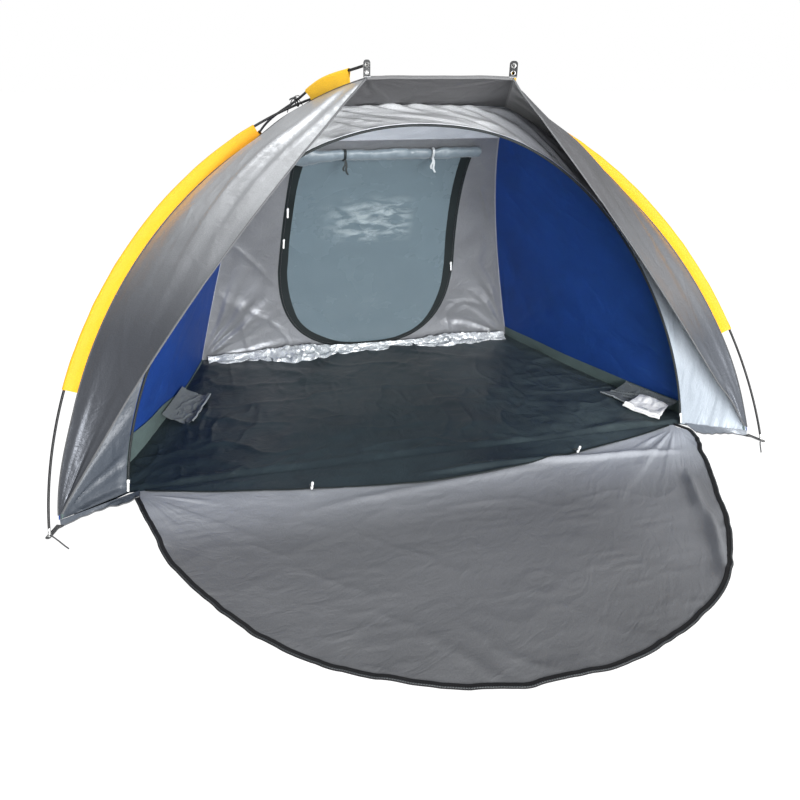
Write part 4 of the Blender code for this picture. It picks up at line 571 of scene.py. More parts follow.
def finish_mesh(name, vertices, faces, places, looks):
    """An object from arrays; places has each vertex's place on the flat cloth."""
    mesh = bpy.data.meshes.new(name)
    mesh.from_pydata(np.asarray(vertices, float).tolist(), [], [list(map(int, f)) for f in faces])
    layer = mesh.uv_layers.new(name="cloth")
    index = np.zeros(len(mesh.loops), np.int32)
    mesh.loops.foreach_get("vertex_index", index)
    layer.data.foreach_set("uv", np.asarray(places, np.float32)[index].ravel())
    for look in looks:
        mesh.materials.append(LOOKS[look].material)
    mesh.polygons.foreach_set("use_smooth", np.ones(len(mesh.polygons), bool))
    mesh.update()
    mesh.validate()
    return linked(name, mesh)


def evaluated_mesh(obj):
    graph = bpy.context.evaluated_depsgraph_get()
    graph.update()
    return bpy.data.meshes.new_from_object(obj.evaluated_get(graph))


def panel(name, grid, front, back=None, body="tent", thickness=CLOTH, keep=None, uvs=None,
          sharp=1.0, nodes=()):
    """A sheet of cloth with two sides from a grid of points; the front is the side of the grid's normals."""
    grid = np.asarray(grid, float) + SHIFT
    index = np.arange(grid[..., 0].size).reshape(grid.shape[:2])
    faces = np.stack([index[:-1, :-1], index[1:, :-1], index[1:, 1:], index[:-1, 1:]], axis=-1)
    faces = (faces if keep is None else faces[keep]).reshape(-1, 4)
    places = np.stack([part.ravel() for part in uvs or lengths(grid)], axis=-1)
    used, faces = np.unique(faces, return_inverse=True)
    obj = finish_mesh(name, grid.reshape(-1, 3)[used], faces.reshape(-1, 4), places[used], (front, back or front))
    solid = obj.modifiers.new("thickness", "SOLIDIFY")
    solid.thickness, solid.offset = thickness, 0.0
    solid.material_offset = solid.material_offset_rim = 1
    flat, made = obj.data, evaluated_mesh(obj)
    obj.modifiers.clear()
    obj.data = made
    bpy.data.meshes.remove(flat)
    made.name = name
    made.set_sharp_from_angle(angle=sharp)
    return keep_piece(obj, body, nodes)


def fix_sides(obj, grid, outward):
    """Swap a panel's two sides where its grid's normals point inward."""
    middle = normals(grid)[grid.shape[0] // 2, grid.shape[1] // 2]
    if (middle * outward).sum() < 0:
        first, second = obj.data.materials[0], obj.data.materials[1]
        obj.data.materials[0], obj.data.materials[1] = second, first


def tangents(points):
    return unit(np.gradient(np.asarray(points, float), axis=0))


def turning_frames(points):
    """Two directions across a path at each of its points, with the least twist."""
    along, first = tangents(points), []
    last = np.array([0.13, 0.31, 0.94])
    for direction in along:
        last = square_to(last, direction)
        first.append(last)
    return np.array(first), np.cross(along, first)


def skin(name, rings, steps, around, look, slot, body="tent", caps=True, nodes=()):
    """A tube through rings of points, steps and around being their places on the flat cloth."""
    index = np.arange(rings[..., 0].size).reshape(rings.shape[:2])
    after = np.roll(index, -1, axis=1)
    faces = np.stack([index[:-1], index[1:], after[1:], after[:-1]], axis=-1).reshape(-1, 4).tolist()
    if caps:
        faces += [index[0].tolist(), index[-1][::-1].tolist()]
    places = np.stack(np.meshgrid(steps, around, indexing="ij"), axis=-1).reshape(-1, 2)
    obj = finish_mesh(name, rings.reshape(-1, 3), faces, places, [look])
    obj.data.set_sharp_from_angle(angle=0.9)
    return keep_piece(obj, body, nodes)


def sweep(name, points, profile, look, slot, first=None, second=None, scale=None, **more):
    """A closed profile moved along a path."""
    points = np.asarray(points, float) + SHIFT
    if first is None:
        first, second = turning_frames(points)
    elif second is None:
        second = unit(np.cross(tangents(points), first))
    first, second = np.broadcast_to(first, points.shape), np.broadcast_to(second, points.shape)
    size = np.ones(len(points)) if scale is None else scale
    a, b = profile[None, :, :1], profile[None, :, 1:]
    rings = points[:, None] + size[:, None, None] * (first[:, None] * a + second[:, None] * b)
    return skin(name, rings, run_of(points), run_of(profile), look, slot, **more)


def circle(radius, count=8):
    turn = np.linspace(0.0, 2.0 * math.pi, count, endpoint=False)
    return np.stack([np.cos(turn), np.sin(turn)], axis=-1) * radius


def flat_profile(width, thickness):
    """A flat strip with rounded sides."""
    turn = np.linspace(-math.pi / 2, math.pi / 2, 5)
    right = np.stack([np.cos(turn) * thickness / 2 + (width - thickness) / 2, np.sin(turn) * thickness / 2], axis=-1)
    return np.vstack([right, -right])


def along_path(points, where):
    """The places at some distances along a path."""
    return np.stack([np.interp(where, run_of(points), points[:, k]) for k in range(3)], axis=-1)


def even(points, step):
    """The path with even steps."""
    points = np.asarray(points, float)
    total = run_of(points)[-1]
    return along_path(points, np.linspace(0.0, total, max(int(round(total / step)), 2) + 1))


def rounded(points, passes=2):
    """The path with its corners cut."""
    points = np.asarray(points, float)
    for _ in range(passes):
        a, b = points[:-1], points[1:]
        inner = np.stack([a * 0.75 + b * 0.25, a * 0.25 + b * 0.75], axis=1).reshape(-1, 3)
        points = np.vstack([points[:1], inner, points[-1:]])
    return points


def square(rows, columns):
    """Two shares from 0 to 1, down the rows and along the columns of a grid."""
    return np.meshgrid(np.linspace(0.0, 1.0, rows), np.linspace(0.0, 1.0, columns), indexing="ij")


def flip(grid, hand):
    """The grid on one side of the tent, with its normals still outward."""
    grid = grid * hand
    return grid[:, ::-1] if hand[0] < 0 else grid


def declare(obj, grid, with_pieces=(), flat=None):
    """Work out the size of the cloth that a sheet was cut from; nothing is done with it.

    Where flat isn't given, the size comes from the grid, and a length of None comes from the sheet's area.
    """
    area = float(sum(p.area for p in obj.data.polygons) / 2.0)
    if flat is None:
        across, up = lengths(grid)
        width, length = float((across[:, -1] - across[:, 0]).max()), float(up[-1].max())
        share = area / (width * length)
        flat = (width, length * share * 1.002 if share > 0.999 else length)
    elif flat[1] is None:
        flat = (flat[0], area / flat[0] * 1.002)


def free_cord(name, path, radius):
    """A cord with a free end, along a path."""
    obj = sweep(name, path, circle(radius), "cord", "cord")


# ---------------------------------------------------------------- walls, wings and roof


def side_wall_points(s, u):
    """The blue wall; s runs up, u from the rear seam to the hoop's seam."""
    rear, front = side(CROSS_SHARE * s)[:, None], hoop_seam(s)[:, None]
    s, u = s[:, None], u[None, :]
    gap = SEAM_GAP / np.maximum(np.linalg.norm(front - rear, axis=2), 0.01)
    v = gap + (1 - 2 * gap) * u
    base = REAR + (FOOT - REAR) * v[..., None]
    p = rear + (front - rear) * v[..., None] + (floor_side(v) - base) * ((1.0 - s) ** 2)[..., None]
    p[..., 0] -= 0.012 * 16.0 * v * (1 - v) * s * (1 - s)
    return p


def build_side_walls():
    grid = side_wall_points(np.linspace(0.0, 0.993, 170), np.linspace(0.0, 1.0, 130))
    across, up = lengths(grid)
    mask, seam_mask = edge_mask(grid, 0.10), edge_mask(grid, 0.03)
    for (name, hand), seed in zip(SIDES, (11, 23)):
        fold = 0.004 * fbm(across / 0.30, up / 0.42, 2, seed) + fans(across, up, (0.0030, -1, 64, 9.0, 0.55, seed + 2))
        fold = (fold + 0.0015 * creases((across + up) / 0.17, (across - up) / 0.45, seed + 6)) * mask
        fold += seam_mask * fans(across, up, (0.0034, 0, -1, 12.0, 0.60, seed + 3),
                                 (0.0022, 0, 0, 12.0, 0.50, seed + 4))
        shaped = flip(grid + normals(grid) * fold[..., None], hand)
        obj = panel(f"side_wall_{name}_cloth", shaped, "blue", nodes=[f"side_wall_{name}"])
        declare(obj, shaped)


def build_floor_bands():
    """The ground sheet's edge, which climbs a little way up the side walls."""
    u = np.linspace(0.004, 0.996, 130)
    wall = side_wall_points(np.linspace(0.0, 0.16, 60), u)
    y = wall[0, :, 1] - 0.039
    inward = np.linspace(0.0, 1.0, 16)[:, None]
    tops = (0.004 + 0.072 * smooth(-y, -0.82, -0.36) + 0.030 * smooth(-y, -0.36, 0.0),
            0.046 + 0.006 * line_noise(y / 0.2, 191))
    for (name, hand), top in zip(SIDES, tops):
        want = wall[0, :, 2] + inward * top * (1 - 0.6 * smooth(u, 0.90, 1.0))
        grid = np.stack([along_height(wall[:, j], want[:, j]) for j in range(len(u))], axis=1)
        across, up = lengths(grid)
        grid[..., 0] -= 0.0042 + 0.0022 * (1 + fbm(across / 0.08, up / 0.05 + inward, 2, 192)) * (1 - inward)
        shaped = flip(grid, hand)
        obj = panel(f"floor_band_{name}_cloth", shaped, "band")
        declare(obj, shaped)


def along_height(line, heights):
    return np.stack([np.interp(heights, line[:, 2], line[:, k]) for k in range(3)], axis=-1)


def build_skirts():
    """The lower edge of the front wall, which lies out on the ground beside the doorway."""
    a, b = square(70, 22)
    start = FOOT + (-0.004, -0.002, -0.002)
    shapes = ((0.034, 0.034, 0.30, 0.16, "silver_in"), (0.070, -0.016, 0.05, 0.03, "foot"))
    for (name, hand), (reach, past, begin, wave, look) in zip(SIDES, shapes):
        grid = start + (np.array([ARCH_X - past, -0.004, 0.004]) - start) * a[..., None]
        grid[..., 1] -= (reach * smooth(a, begin, 1.0) + 0.004) * b * (1.0 + wave * np.sin(a * 17.0 + 1.0))
        bumps = 0.0050 * np.clip(fbm(a * 6, b * 1.4, 2, 195), 0, 1) * b * (1 - b) * 4 * smooth(a, 0.1, 0.3)
        bumps += 0.0035 * (1 + np.sin(a * 34.0)) * b * 0.5 * smooth(a, 0.05, 0.3)
        grid[..., 2] = (grid[..., 2] + 0.002) * (1 - b) ** 1.6 + 0.0016 + bumps
        shaped = grid * hand
        obj = panel(f"front_skirt_{name}_cloth", shaped, look)
        strip = sweep(f"front_skirt_{name}_hem", even(shaped[:, -1], 0.006), flat_profile(0.0045, 0.0022), "hem",
                      "webbing")
        declare(obj, shaped, [strip])


def wing_points(s, u):
    """A hood wing; s runs up, u from the free hem to the hoop's seam."""
    front, seam = hem(s)[:, None], hoop_seam(s)[:, None]
    top_curve = side(1.0 - u * (1.0 - CROSS_SHARE))[None]
    s, u = s[:, None], u[None, :]
    v = (1 - SEAM_GAP / np.maximum(np.linalg.norm(seam - front, axis=2), 0.01)) * u
    top = BRIM + (CROSS_SEAM - BRIM) * u[..., None]
    p = front + (seam - front) * v[..., None] + (top_curve - top) * s[..., None]
    draw = 0.010 * 16.0 * v * (1 - v) * s * (1 - s)
    p[..., 0] -= draw
    p[..., 1] += draw
    return p


def build_wings():
    s = np.concatenate([np.linspace(0.012, 0.12, 18)[:-1], np.linspace(0.12, 0.9985, 150)])
    u = np.linspace(0.0, 1.0, 84)
    grid = wing_points(s, u)
    across, up = lengths(grid)
    s, u = s[:, None], u[None, :]
    mask = edge_mask(grid, 0.05, columns=(False, True))
    out = normals(grid, (1.0, -1.0, 0.3))
    bulge = 0.030 * (4 * u * (1 - u)) * smooth(s, 0.30, 0.74) * (1 - smooth(s, 0.78, 1.0))
    for (name, hand), seed in zip(SIDES, (31, 47)):
        strips = noise(u * 9 + 0.5 * noise(s * 3, u * 2, seed), s * 1.1, seed + 1)
        fold = 0.0062 * strips * smooth(s, 0.25, 0.75) + 0.0055 * noise(u * 4.5, s * 1.7, seed + 7)
        fold = fold + fans(across, up, (0.0070, 0, 40, 7.0, 0.42, seed + 3))
        fold = fold + 0.0016 * creases((across - 0.4 * up) / 0.13, (up + across) / 0.50, seed + 5)
        folded = grid + out * (bulge + fold * mask)[..., None]
        shaped = flip(folded, hand)
        uvs = [part[:, ::-1] for part in (across, up)] if name == "left" else (across, up)
        obj = panel(f"hood_wing_{name}_cloth", shaped, f"wing_{name}", "hood", uvs=uvs, nodes=[f"hood_wing_{name}"])
        fix_sides(obj, shaped, hand * (1.0, -1.0, 0.5))
        binding = sweep(f"hood_hem_{name}", even(folded[:, 0] * hand, 0.012), flat_profile(0.0060, 0.0026), "hem",
                        "webbing")
        declare(obj, shaped, [binding])


def header_grid():
    """The wall round the doorway, from the arch out to the hoop's seam and the roof seam."""
    rise = np.linspace(0.0, 1.0, 190)
    middle = np.linspace(-1.0, 1.0, 112)[1:-1]
    shoulder = 1 - (1 - SHOULDER) * rise
    turns = np.concatenate([-shoulder, SHOULDER * middle, shoulder[::-1]])
    outer = np.vstack([hoop_seam(rise) * MIRROR, roof_seam(middle), hoop_seam(rise)[::-1]])
    inner = arch(turns)
    outward = unit(np.cross(tangents(inner), ARCH_FACING))
    outward = outward * np.sign(outward[len(turns) // 2][2])
    inner = inner + outward * 0.0055
    inner[0][2] = inner[-1][2] = 0.003
    outer = outer - unit(outer - inner) * 0.0040
    v = np.linspace(0.0, 1.0, 30)[None, :, None]
    return inner[:, None] * (1 - v) + outer[:, None] * v, turns


def build_header():
    grid, turns = header_grid()
    across, up = lengths(grid)
    v = np.linspace(0.0, 1.0, grid.shape[1])[None, :]
    place = np.linspace(0.0, 1.0, len(turns))[:, None]
    left_cross, right_cross = (int(np.argmin(np.abs(turns - at))) for at in (-SHOULDER, SHOULDER))
    pleats = signed_power(np.sin(up / 0.021 + 1.4 * noise(up / 0.05, v * 1.5, 63) + v * 2.2), 0.7)
    tucks = np.sin(up / 0.016 + 2.0 * noise(up / 0.06, v * 2, 66)) * smooth(v, 0.35, 0.95)
    fold = 0.0040 * fbm(up / 0.20, across / 0.16, 2, 5)
    fold += fans(across, up, (0.0160, left_cross, -1, 8.0, 0.46, 61, 0.45), (0.0110, 0, -1, 8.0, 0.60, 71),
                 (0.0110, len(turns) - 1, -1, 8.0, 0.60, 72))
    fold += 0.0085 * pleats * hump(up - up[right_cross], 0.02, 0.16) + 0.0070 * tucks * hump(place, 0.5, 0.16)
    fold += 0.0022 * creases((up + 0.5 * across) / 0.15, across / 0.10, 75)
    fold *= edge_mask(grid, 0.03, rows=(False, False))
    shaped = grid + normals(grid, (0.0, -1.0, 0.4)) * fold[..., None]
    obj = panel("front_wall_cloth", shaped, "silver_in", nodes=["front_wall"])
    line = arch(np.linspace(-1.0, 1.0, 500))
    tape = sweep("arch_zip_strip", line, flat_profile(0.0082, 0.0028), "tape", "zip_tape",
                 first=unit(np.cross(tangents(line), ARCH_FACING)), nodes=["arch_zip_tape"])
    line = arch(np.linspace(-0.998, 0.998, 700)) + ARCH_FACING * 0.0020
    coil = sweep("arch_zip_coil", line, circle(CORD_RADIUS), "coil", "zip_tape")
    declare(obj, shaped, [tape, coil])


def cross_rows(lines, c, sag=0.0):
    """A panel across the tent between a line and its mirror image, which sags between its ends."""
    k = np.arange(len(lines)) / (len(lines) - 1)
    drop = (sag * 4 * k * (1 - k))[:, None] * (1 - c[None, :] ** 2)
    x, y, z = lines.T[:, :, None]
    return np.stack([x * c[None, :], y + 0 * c[None, :], z - drop], axis=-1)


def build_back():
    lines = side(np.linspace(0.0, BACK_SHARE, 170))
    lines[:, 0] -= SEAM_GAP
    grid = cross_rows(lines, np.linspace(-1.0, 1.0, 230))
    across, up = lengths(grid)
    out = normals(grid)
    x, z = grid[..., 0], grid[..., 2]
    fold = 0.0065 * fbm(across / 0.24, up / 0.30, 3, 81)
    fold += 0.0060 * creases((across + 0.8 * up) / 0.20, (up - across) / 0.50, 85)
    fold += fans(across, up, (0.0085, 0, 0, 9.0, 0.55, 82), (0.0085, 0, -1, 9.0, 0.55, 83),
                 (0.0070, -1, 0, 8.0, 0.45, 84))
    fold *= edge_mask(grid, 0.06)
    gathers = np.sin(across / 0.0105 + 1.5 * noise(across / 0.05, up / 0.2, 86))
    fold += 0.0032 * gathers * hump(z, 0.994, 0.020) * (1 - smooth(np.abs(x - WINDOW_X), 0.34, 0.44))
    close = sum(inside_window(x, z, -d) * 1.0 for d in (0.015, 0.03, 0.045, 0.06, 0.075, 0.09)) / 6.0
    shaped = grid - out * (fold * (1.0 - 0.92 * close))[..., None]
    middle = (grid[1:, 1:] + grid[:-1, :-1]) / 2
    inside = inside_window(middle[..., 0], middle[..., 2], 0.008)
    wall = panel("back_wall_cloth", shaped, "back", "silver", keep=~inside, nodes=["back_wall"])
    patch = np.exp(-(((x + 0.02) / 0.20) ** 2 + ((z - 0.66) / 0.075) ** 2))
    fold = 0.0016 * fbm(across / 0.22, up / 0.09, 2, 91) * edge_mask(grid, 0.2)
    fold += 0.0040 * creases(across / 0.085, up / 0.030, 92, 1.0) * patch
    film = panel("window_film_cloth", grid - out * fold[..., None], "film", thickness=0.0006,
                 keep=inside, nodes=["window_film"])
    declare(wall, shaped, build_window_tape())
    declare(film, grid, flat=(0.824, 0.92))


def build_window_tape():
    """The wide dark band round the window, with its zip coil; it is narrow at the bottom."""
    angle = np.linspace(0.0, math.pi, 200)
    half, low, top = WINDOW_HALF + 0.003, WINDOW_LOW - 0.003, WINDOW_TOP + 0.003
    x = signed_power(np.cos(angle), 2 / WINDOW_ROUND) * half
    z = WINDOW_MIDDLE - (WINDOW_MIDDLE - low) * np.sin(angle) ** (2 / WINDOW_ROUND)
    narrow = half - WINDOW_NARROW
    x = np.concatenate([[narrow], x, [-narrow]]) + WINDOW_X
    z = np.concatenate([[top], z, [top]])
    outer = even(np.stack([x, 0 * x, z], axis=-1), 0.008)
    outer[:, 1] = wall_y(outer[:, 2])
    facing = wall_facing(outer[:, 2])
    inward = square_to(np.array([WINDOW_X, 0.0, 0.46]) - outer, facing, tangents(outer))
    place = np.linspace(0.0, 1.0, len(outer))
    low_part = np.exp(-(((place - 0.48) / 0.115) ** 4))
    width = 0.041 + 0.006 * line_noise(place * 14, 101) - 0.024 * low_part
    inner = outer + inward * width[:, None]
    loop = [outer + facing * 0.0016, inner + facing * 0.0022, inner - facing * 0.0012, outer - facing * 0.0016]
    band = skin("window_zip_band", np.stack(loop, axis=1) + SHIFT, run_of(outer), [0.0, 0.035, 0.037, 0.072], "tape",
                "zip_tape", nodes=["window_zip_tape"])
    line = even(outer + inward * 0.010 + facing * 0.0026, 0.004)
    return [band, sweep("window_zip_coil", line, circle(COIL_RADIUS), "coil", "zip_tape")]


def build_top_panels():
    """The roof behind the hoop's seam, and the awning from there to the brim."""
    c = np.linspace(-0.997, 0.997, 110)
    crown = 0.010 * (1 - c[None] ** 2)
    roof = cross_rows(side(np.linspace(BACK_SHARE, CROSS_SHARE, 60)), c, 0.012)
    roof[..., 2] += smooth(np.linspace(0.0, 1.0, 60), 0.0, 1.0)[:, None] * crown
    awning = cross_rows(side(np.linspace(CROSS_SHARE, 1.0, 64)), c, 0.004)
    k = np.linspace(0.0, 1.0, 64)[:, None]
    awning[..., 2] += crown * (1 - k) ** 2
    awning[..., 1] += crown * k**3
    for name, grid, free_edge, broad, fan, back, below in (
            ("roof", roof, False, (0.0040, 0.22, 0.16, 3, 95), (0.0045, 9, 0.35), "roof", "back_wall_cloth"),
            ("awning", awning, True, (0.0030, 0.26, 0.20, 2, 98), (0.0035, 8, 0.30), "awning", "roof_panel_cloth")):
        across, up = lengths(grid)
        height, wide, long, octaves, seed = broad
        fan_height, *fan = fan
        fold = height * fbm(across / wide, up / long, octaves, seed)
        fold += fans(across, up, (fan_height, -1, 0, *fan, seed + 1), (fan_height, -1, -1, *fan, seed + 2))
        mask = edge_mask(grid, 0.05, rows=(True, not free_edge))
        shaped = grid + normals(grid) * (fold * mask)[..., None]
        obj = panel(f"{name}_panel_cloth", shaped, "silver", back, nodes=[f"{name}_panel"])
        fix_sides(obj, shaped, np.array([0.0, 0.2, 1.0]))
        trim = [sweep("brim_binding", even(shaped[-1], 0.012), flat_profile(0.010, 0.0032), "hood", "webbing")
                ] if free_edge else []
        declare(obj, shaped, trim)


# ---------------------------------------------------------------- floor


def build_floor():
    t = np.linspace(0.0, 1.0, 140)
    right = floor_side(t)[::-1] * (1.0, 1.0, 0.0)
    left = right * MIRROR
    foot = FOOT * (1.0, 1.0, 0.0)
    sill = np.array([ARCH_X, 0.0, 0.0])
    front = even([foot * MIRROR, sill * MIRROR, sill, foot], 0.0085)
    share = np.linspace(0.0, 1.0, len(front))
    rear = left[-1] + (right[-1] - left[-1]) * share[:, None]
    u, v = share[None, :, None], t[:, None, None]
    grid = front[None] * (1 - v) + rear[None] * v + left[:, None] * (1 - u) + right[:, None] * u
    grid = grid - ((1 - u) * (1 - v) * front[0] + u * (1 - v) * front[-1] + (1 - u) * v * rear[0] + u * v * rear[-1])
    x, y = grid[..., 0], grid[..., 1]
    height = 0.0060 * np.clip(fbm(x / 0.20 + 0.4 * y / 0.2, y / 0.13, 3, 111) + 0.35, 0, 2)
    height += 0.0050 * creases(x / 0.26 + y / 0.40, y / 0.16, 112) + 0.0040 * creases(x / 0.10, y / 0.22 - x / 0.5, 113)
    height += 0.0025 * np.clip(noise(x / 0.035, y / 0.05, 116), 0, 1)
    height *= edge_mask(grid, 0.05)
    sill_fold = hump(y - 0.045 - 0.02 * line_noise(x / 0.25, 114), 0.0, 0.016)
    height += 0.0060 * sill_fold * edge_mask(grid, 0.015) * (0.6 + 0.4 * line_noise(x / 0.12, 115))
    grid[..., 2] = 0.0009 + height
    obj = panel("floor_sheet_cloth", grid, "floor", thickness=0.0010, nodes=["floor_sheet"])
    declare(obj, grid)


def build_rear_lip():
    """The crumpled silver edge of the ground sheet, turned up against the back wall."""
    x = np.linspace(-0.736, 0.736, 420)[None, :]
    v = np.linspace(0.0, 1.0, 40)[:, None]
    piles = hump(x, -0.33, 0.17), hump(x, 0.46, 0.13)
    thin = 0.45 + 0.75 * piles[0] + 0.55 * piles[1] + 0.12 * line_noise(x / 0.05, 121)
    y = 1.056 - np.minimum(0.088 * thin, 0.120) * (1 - v) ** 1.1
    z = 0.0030 + (0.016 + 0.016 * thin) * smooth(v, 0.35, 1.0)
    size = (0.35 + 0.65 * (piles[0] + piles[1])) * smooth(v, 0.0, 0.12)
    place = 0.09 * v
    lumps = 0.022 * np.abs(fbm(x / 0.048, place / 0.034, 3, 122)) + 0.013 * creases(x / 0.045, place / 0.030, 123, 0.7)
    z = z + size * lumps * (1 - 0.4 * smooth(v, 0.8, 1.0))
    y = y + size * 0.008 * fbm(x / 0.035, place / 0.03, 2, 124) * (1 - smooth(v, 0.7, 1.0))
    grid = np.stack([x + size * 0.006 * fbm(x / 0.03, place / 0.03, 2, 125), y, z], axis=-1)
    obj = panel("floor_rear_lip_foil", grid, "foil", thickness=0.0006, sharp=0.75,
                nodes=["floor_rear_lip"])
    declare(obj, grid)


# ---------------------------------------------------------------- sleeves, seams and poles


def sleeve_grid(poles, seams, seed):
    """Cloth that runs from the seam round the pole and back to the seam."""
    away = seams - poles
    gap = np.linalg.norm(away, axis=1)[:, None]
    first = away / gap
    second = unit(np.cross(tangents(poles), first))
    run = run_of(poles)[:, None]
    soft = SLEEVE_RADIUS * (1.0 + 0.10 * line_noise(run / 0.045, seed))
    leave = math.radians(40)
    near, far = first * math.cos(leave) * SLEEVE_RADIUS, first * (gap - 0.0012)

    def flat_part(step, sign):
        half = 0.0007 + (SLEEVE_RADIUS * math.sin(leave) - 0.0007) * smooth(step, 0.45, 1.0)
        ripple = 0.0012 * np.sin(run / 0.012 + seed) * (1 - step) * step * 2
        return far + (near - far) * step + second * (sign * half + ripple)

    steps = np.linspace(0.0, 1.0, 6)[:-1]
    turns = np.linspace(leave, 2 * math.pi - leave, 15)
    columns = [flat_part(step, 1.0) for step in steps]
    columns += [(first * math.cos(turn) + second * math.sin(turn)) * soft for turn in turns]
    columns += [flat_part(step, -1.0) for step in steps[::-1]]
    return poles[:, None] + np.stack(columns, axis=1)


def build_sleeve(name, poles, seams, seed, look="yellow"):
    grid = sleeve_grid(poles, seams, seed)
    obj = panel(f"{name}_cloth", grid, look, thickness=0.0007, nodes=[name])
    declare(obj, grid)


def build_sleeves():
    rear = CROSS_SHARE * np.linspace(SLEEVE_LOW, REAR_SLEEVE_TOP, 150)
    front = np.linspace(SLEEVE_END, SLEEVE_TOP, 150)
    brim = CROSS_SHARE + (1 - CROSS_SHARE) * np.linspace(0.0, 1.0, 400)
    at = run_of(side_pole(brim))
    short = np.linspace(*np.interp([0.090, at[-1] - 0.085], at, brim), 50)
    runs = {
        "long_sleeve": (hoop(FOOT_ANGLE + (CROSS_ANGLE - FOOT_ANGLE) * front), hoop_seam(front)),
        "rear_sleeve": (side_pole(rear), side(rear)),
        "short_sleeve": (side_pole(short), side(short)),
    }
    for title, (poles, seams) in runs.items():
        for (name, hand), more in zip(SIDES, (3, 8)):
            look = "yellow_top" if title == "short_sleeve" else "yellow"
            build_sleeve(f"{title}_{name}", poles * hand, seams * hand, len(title) + more, look)
    angles = np.linspace(math.pi - CROSS_ANGLE, CROSS_ANGLE, 240)
    over = np.where(angles[:, None] <= math.pi / 2, hoop(np.minimum(angles, math.pi / 2)),
                    hoop(np.minimum(math.pi - angles, math.pi / 2)) * MIRROR)
    poles = over[np.abs(over[:, 0]) < CROSS_SEAM[0] * 0.615]
    build_sleeve("roof_sleeve", poles, roof_seam(poles[:, 0] / CROSS_SEAM[0]), 5)


def build_seams():
    """Taped seams where the panels are sewn together."""
    rise = np.linspace(0.0, 1.0, 200)
    for name, hand in SIDES:
        for title, path, radius, look in (
                ("rear_seam", side(CROSS_SHARE * rise) * hand, 0.0034, "seam"),
                ("hoop_seam", hoop_seam(np.linspace(0.01, 1.0, 200)) * hand, 0.0026, "seam_dark"),
                ("brim_seam", side(CROSS_SHARE + (1 - CROSS_SHARE) * rise) * hand, 0.0026, "seam_dark"),
                ("floor_seam", floor_side(np.linspace(0.0, 0.97, 160)) * hand + UP * 0.002, 0.0030, "floor")):
            sweep(f"{title}_{name}", even(path, 0.010), circle(radius), look, "webbing")
    sweep("roof_seam_tape", even(roof_seam(np.linspace(-1, 1, 80)), 0.01), circle(0.0028), "seam", "webbing")
    top = side(BACK_SHARE)
    sweep("wall_top_seam", np.linspace(top * MIRROR, top, 90), circle(0.0024), "seam", "webbing")


def build_pole(name, points, count, nodes):
    """A fibreglass pole with its metal ferrules and tips."""
    points = even(points, 0.010)
    length = run_of(points)[-1]

    def cut(a, b, step=0.008):
        return along_path(points, np.linspace(a, b, max(int((b - a) / step), 3)))

    def metal(title, path, radius, count, grow):
        sweep(f"{name}_{title}", path, circle(radius, count), "metal", "fibreglass", scale=grow)

    sweep(f"{name}_rod", cut(0.020, length - 0.020), circle(POLE_RADIUS, 14), "pole", "fibreglass", nodes=nodes)
    for k in range(1, count):
        middle = length * k / count
        path = cut(middle - 0.030, middle + 0.030, 0.004)
        grow = np.ones(len(path))
        grow[0] = grow[-1] = 0.90
        metal(f"ferrule_{k}", path, FERRULE_RADIUS, 16, grow)
    for k, (a, b) in enumerate(((0.0, 0.026), (length - 0.026, length))):
        path = cut(a, b, 0.0025)
        grow = np.interp(np.linspace(0, 1, len(path)), [0.0, 0.15, 0.3, 0.5, 0.6, 1.0],
                         [0.55, 0.9, 1.0, 1.12, 1.0, 0.98])
        metal(f"tip_{k + 1}", path, TIP_RADIUS, 14, grow[::-1] if k else grow)


def build_poles():
    right = hoop(np.linspace(hoop_angle(0.0015), math.pi / 2, 400))
    whole = np.vstack([right * MIRROR, right[::-1][1:]])
    build_pole("hoop_pole", whole, 4, [f"hoop_pole_section_{k}" for k in range(1, 5)])
    points = side_pole(np.linspace(0.0, 1.0, 400))
    points = np.vstack([points, points[-1] + unit(points[-1] - points[-2]) * 0.012])
    for name, hand in SIDES:
        build_pole(f"side_pole_{name}", points * hand, 2, [f"side_pole_{name}_section_{k}" for k in (1, 2)])


# ---------------------------------------------------------------- straps, tabs, eyelets and ties


def holed_plate(name, width, length, holes, top_round, origin, across, along, node):
    """Webbing with rounded corners and round holes, from a filled flat curve; along starts at origin."""
    curve = bpy.data.curves.new(name, "CURVE")
    curve.dimensions, curve.fill_mode, curve.extrude = "2D", "BOTH", WEBBING / 2
    x, y = width / 2 - top_round, length - top_round
    right = [(x + top_round * math.cos(t), y + top_round * math.sin(t)) for t in np.linspace(0.0, math.pi / 2, 7)]
    loops = [[(width / 2, 0.0), *right, *((-x, y) for x, y in right[::-1]), (-width / 2, 0.0)]]
    loops += [circle(EYE_HOLE, 24) + (0.0, at) for at in holes]
    for points in loops:
        spline = curve.splines.new("POLY")
        spline.points.add(len(points) - 1)
        for p, (x, y) in zip(spline.points, points):
            p.co = (x, y, 0.0, 1.0)
        spline.use_cyclic_u = True
    shape = linked(name + "_flat", curve)
    mesh = evaluated_mesh(shape)
    bpy.data.objects.remove(shape)
    layer = mesh.uv_layers.new(name="cloth")
    for loop in mesh.loops:
        layer.data[loop.index].uv = mesh.vertices[loop.vertex_index].co.xy
    mesh.materials.clear()
    mesh.materials.append(LOOKS["webbing"].material)
    for p in mesh.polygons:
        p.material_index, p.use_smooth = 0, False
    across, along = Vector(unit(across)), Vector(unit(along))
    matrix = Matrix((across, along, across.cross(along))).transposed().to_4x4()
    matrix.translation = Vector(np.asarray(origin, float) + SHIFT)
    mesh.transform(matrix)
    keep_piece(linked(name, mesh), nodes=[node])


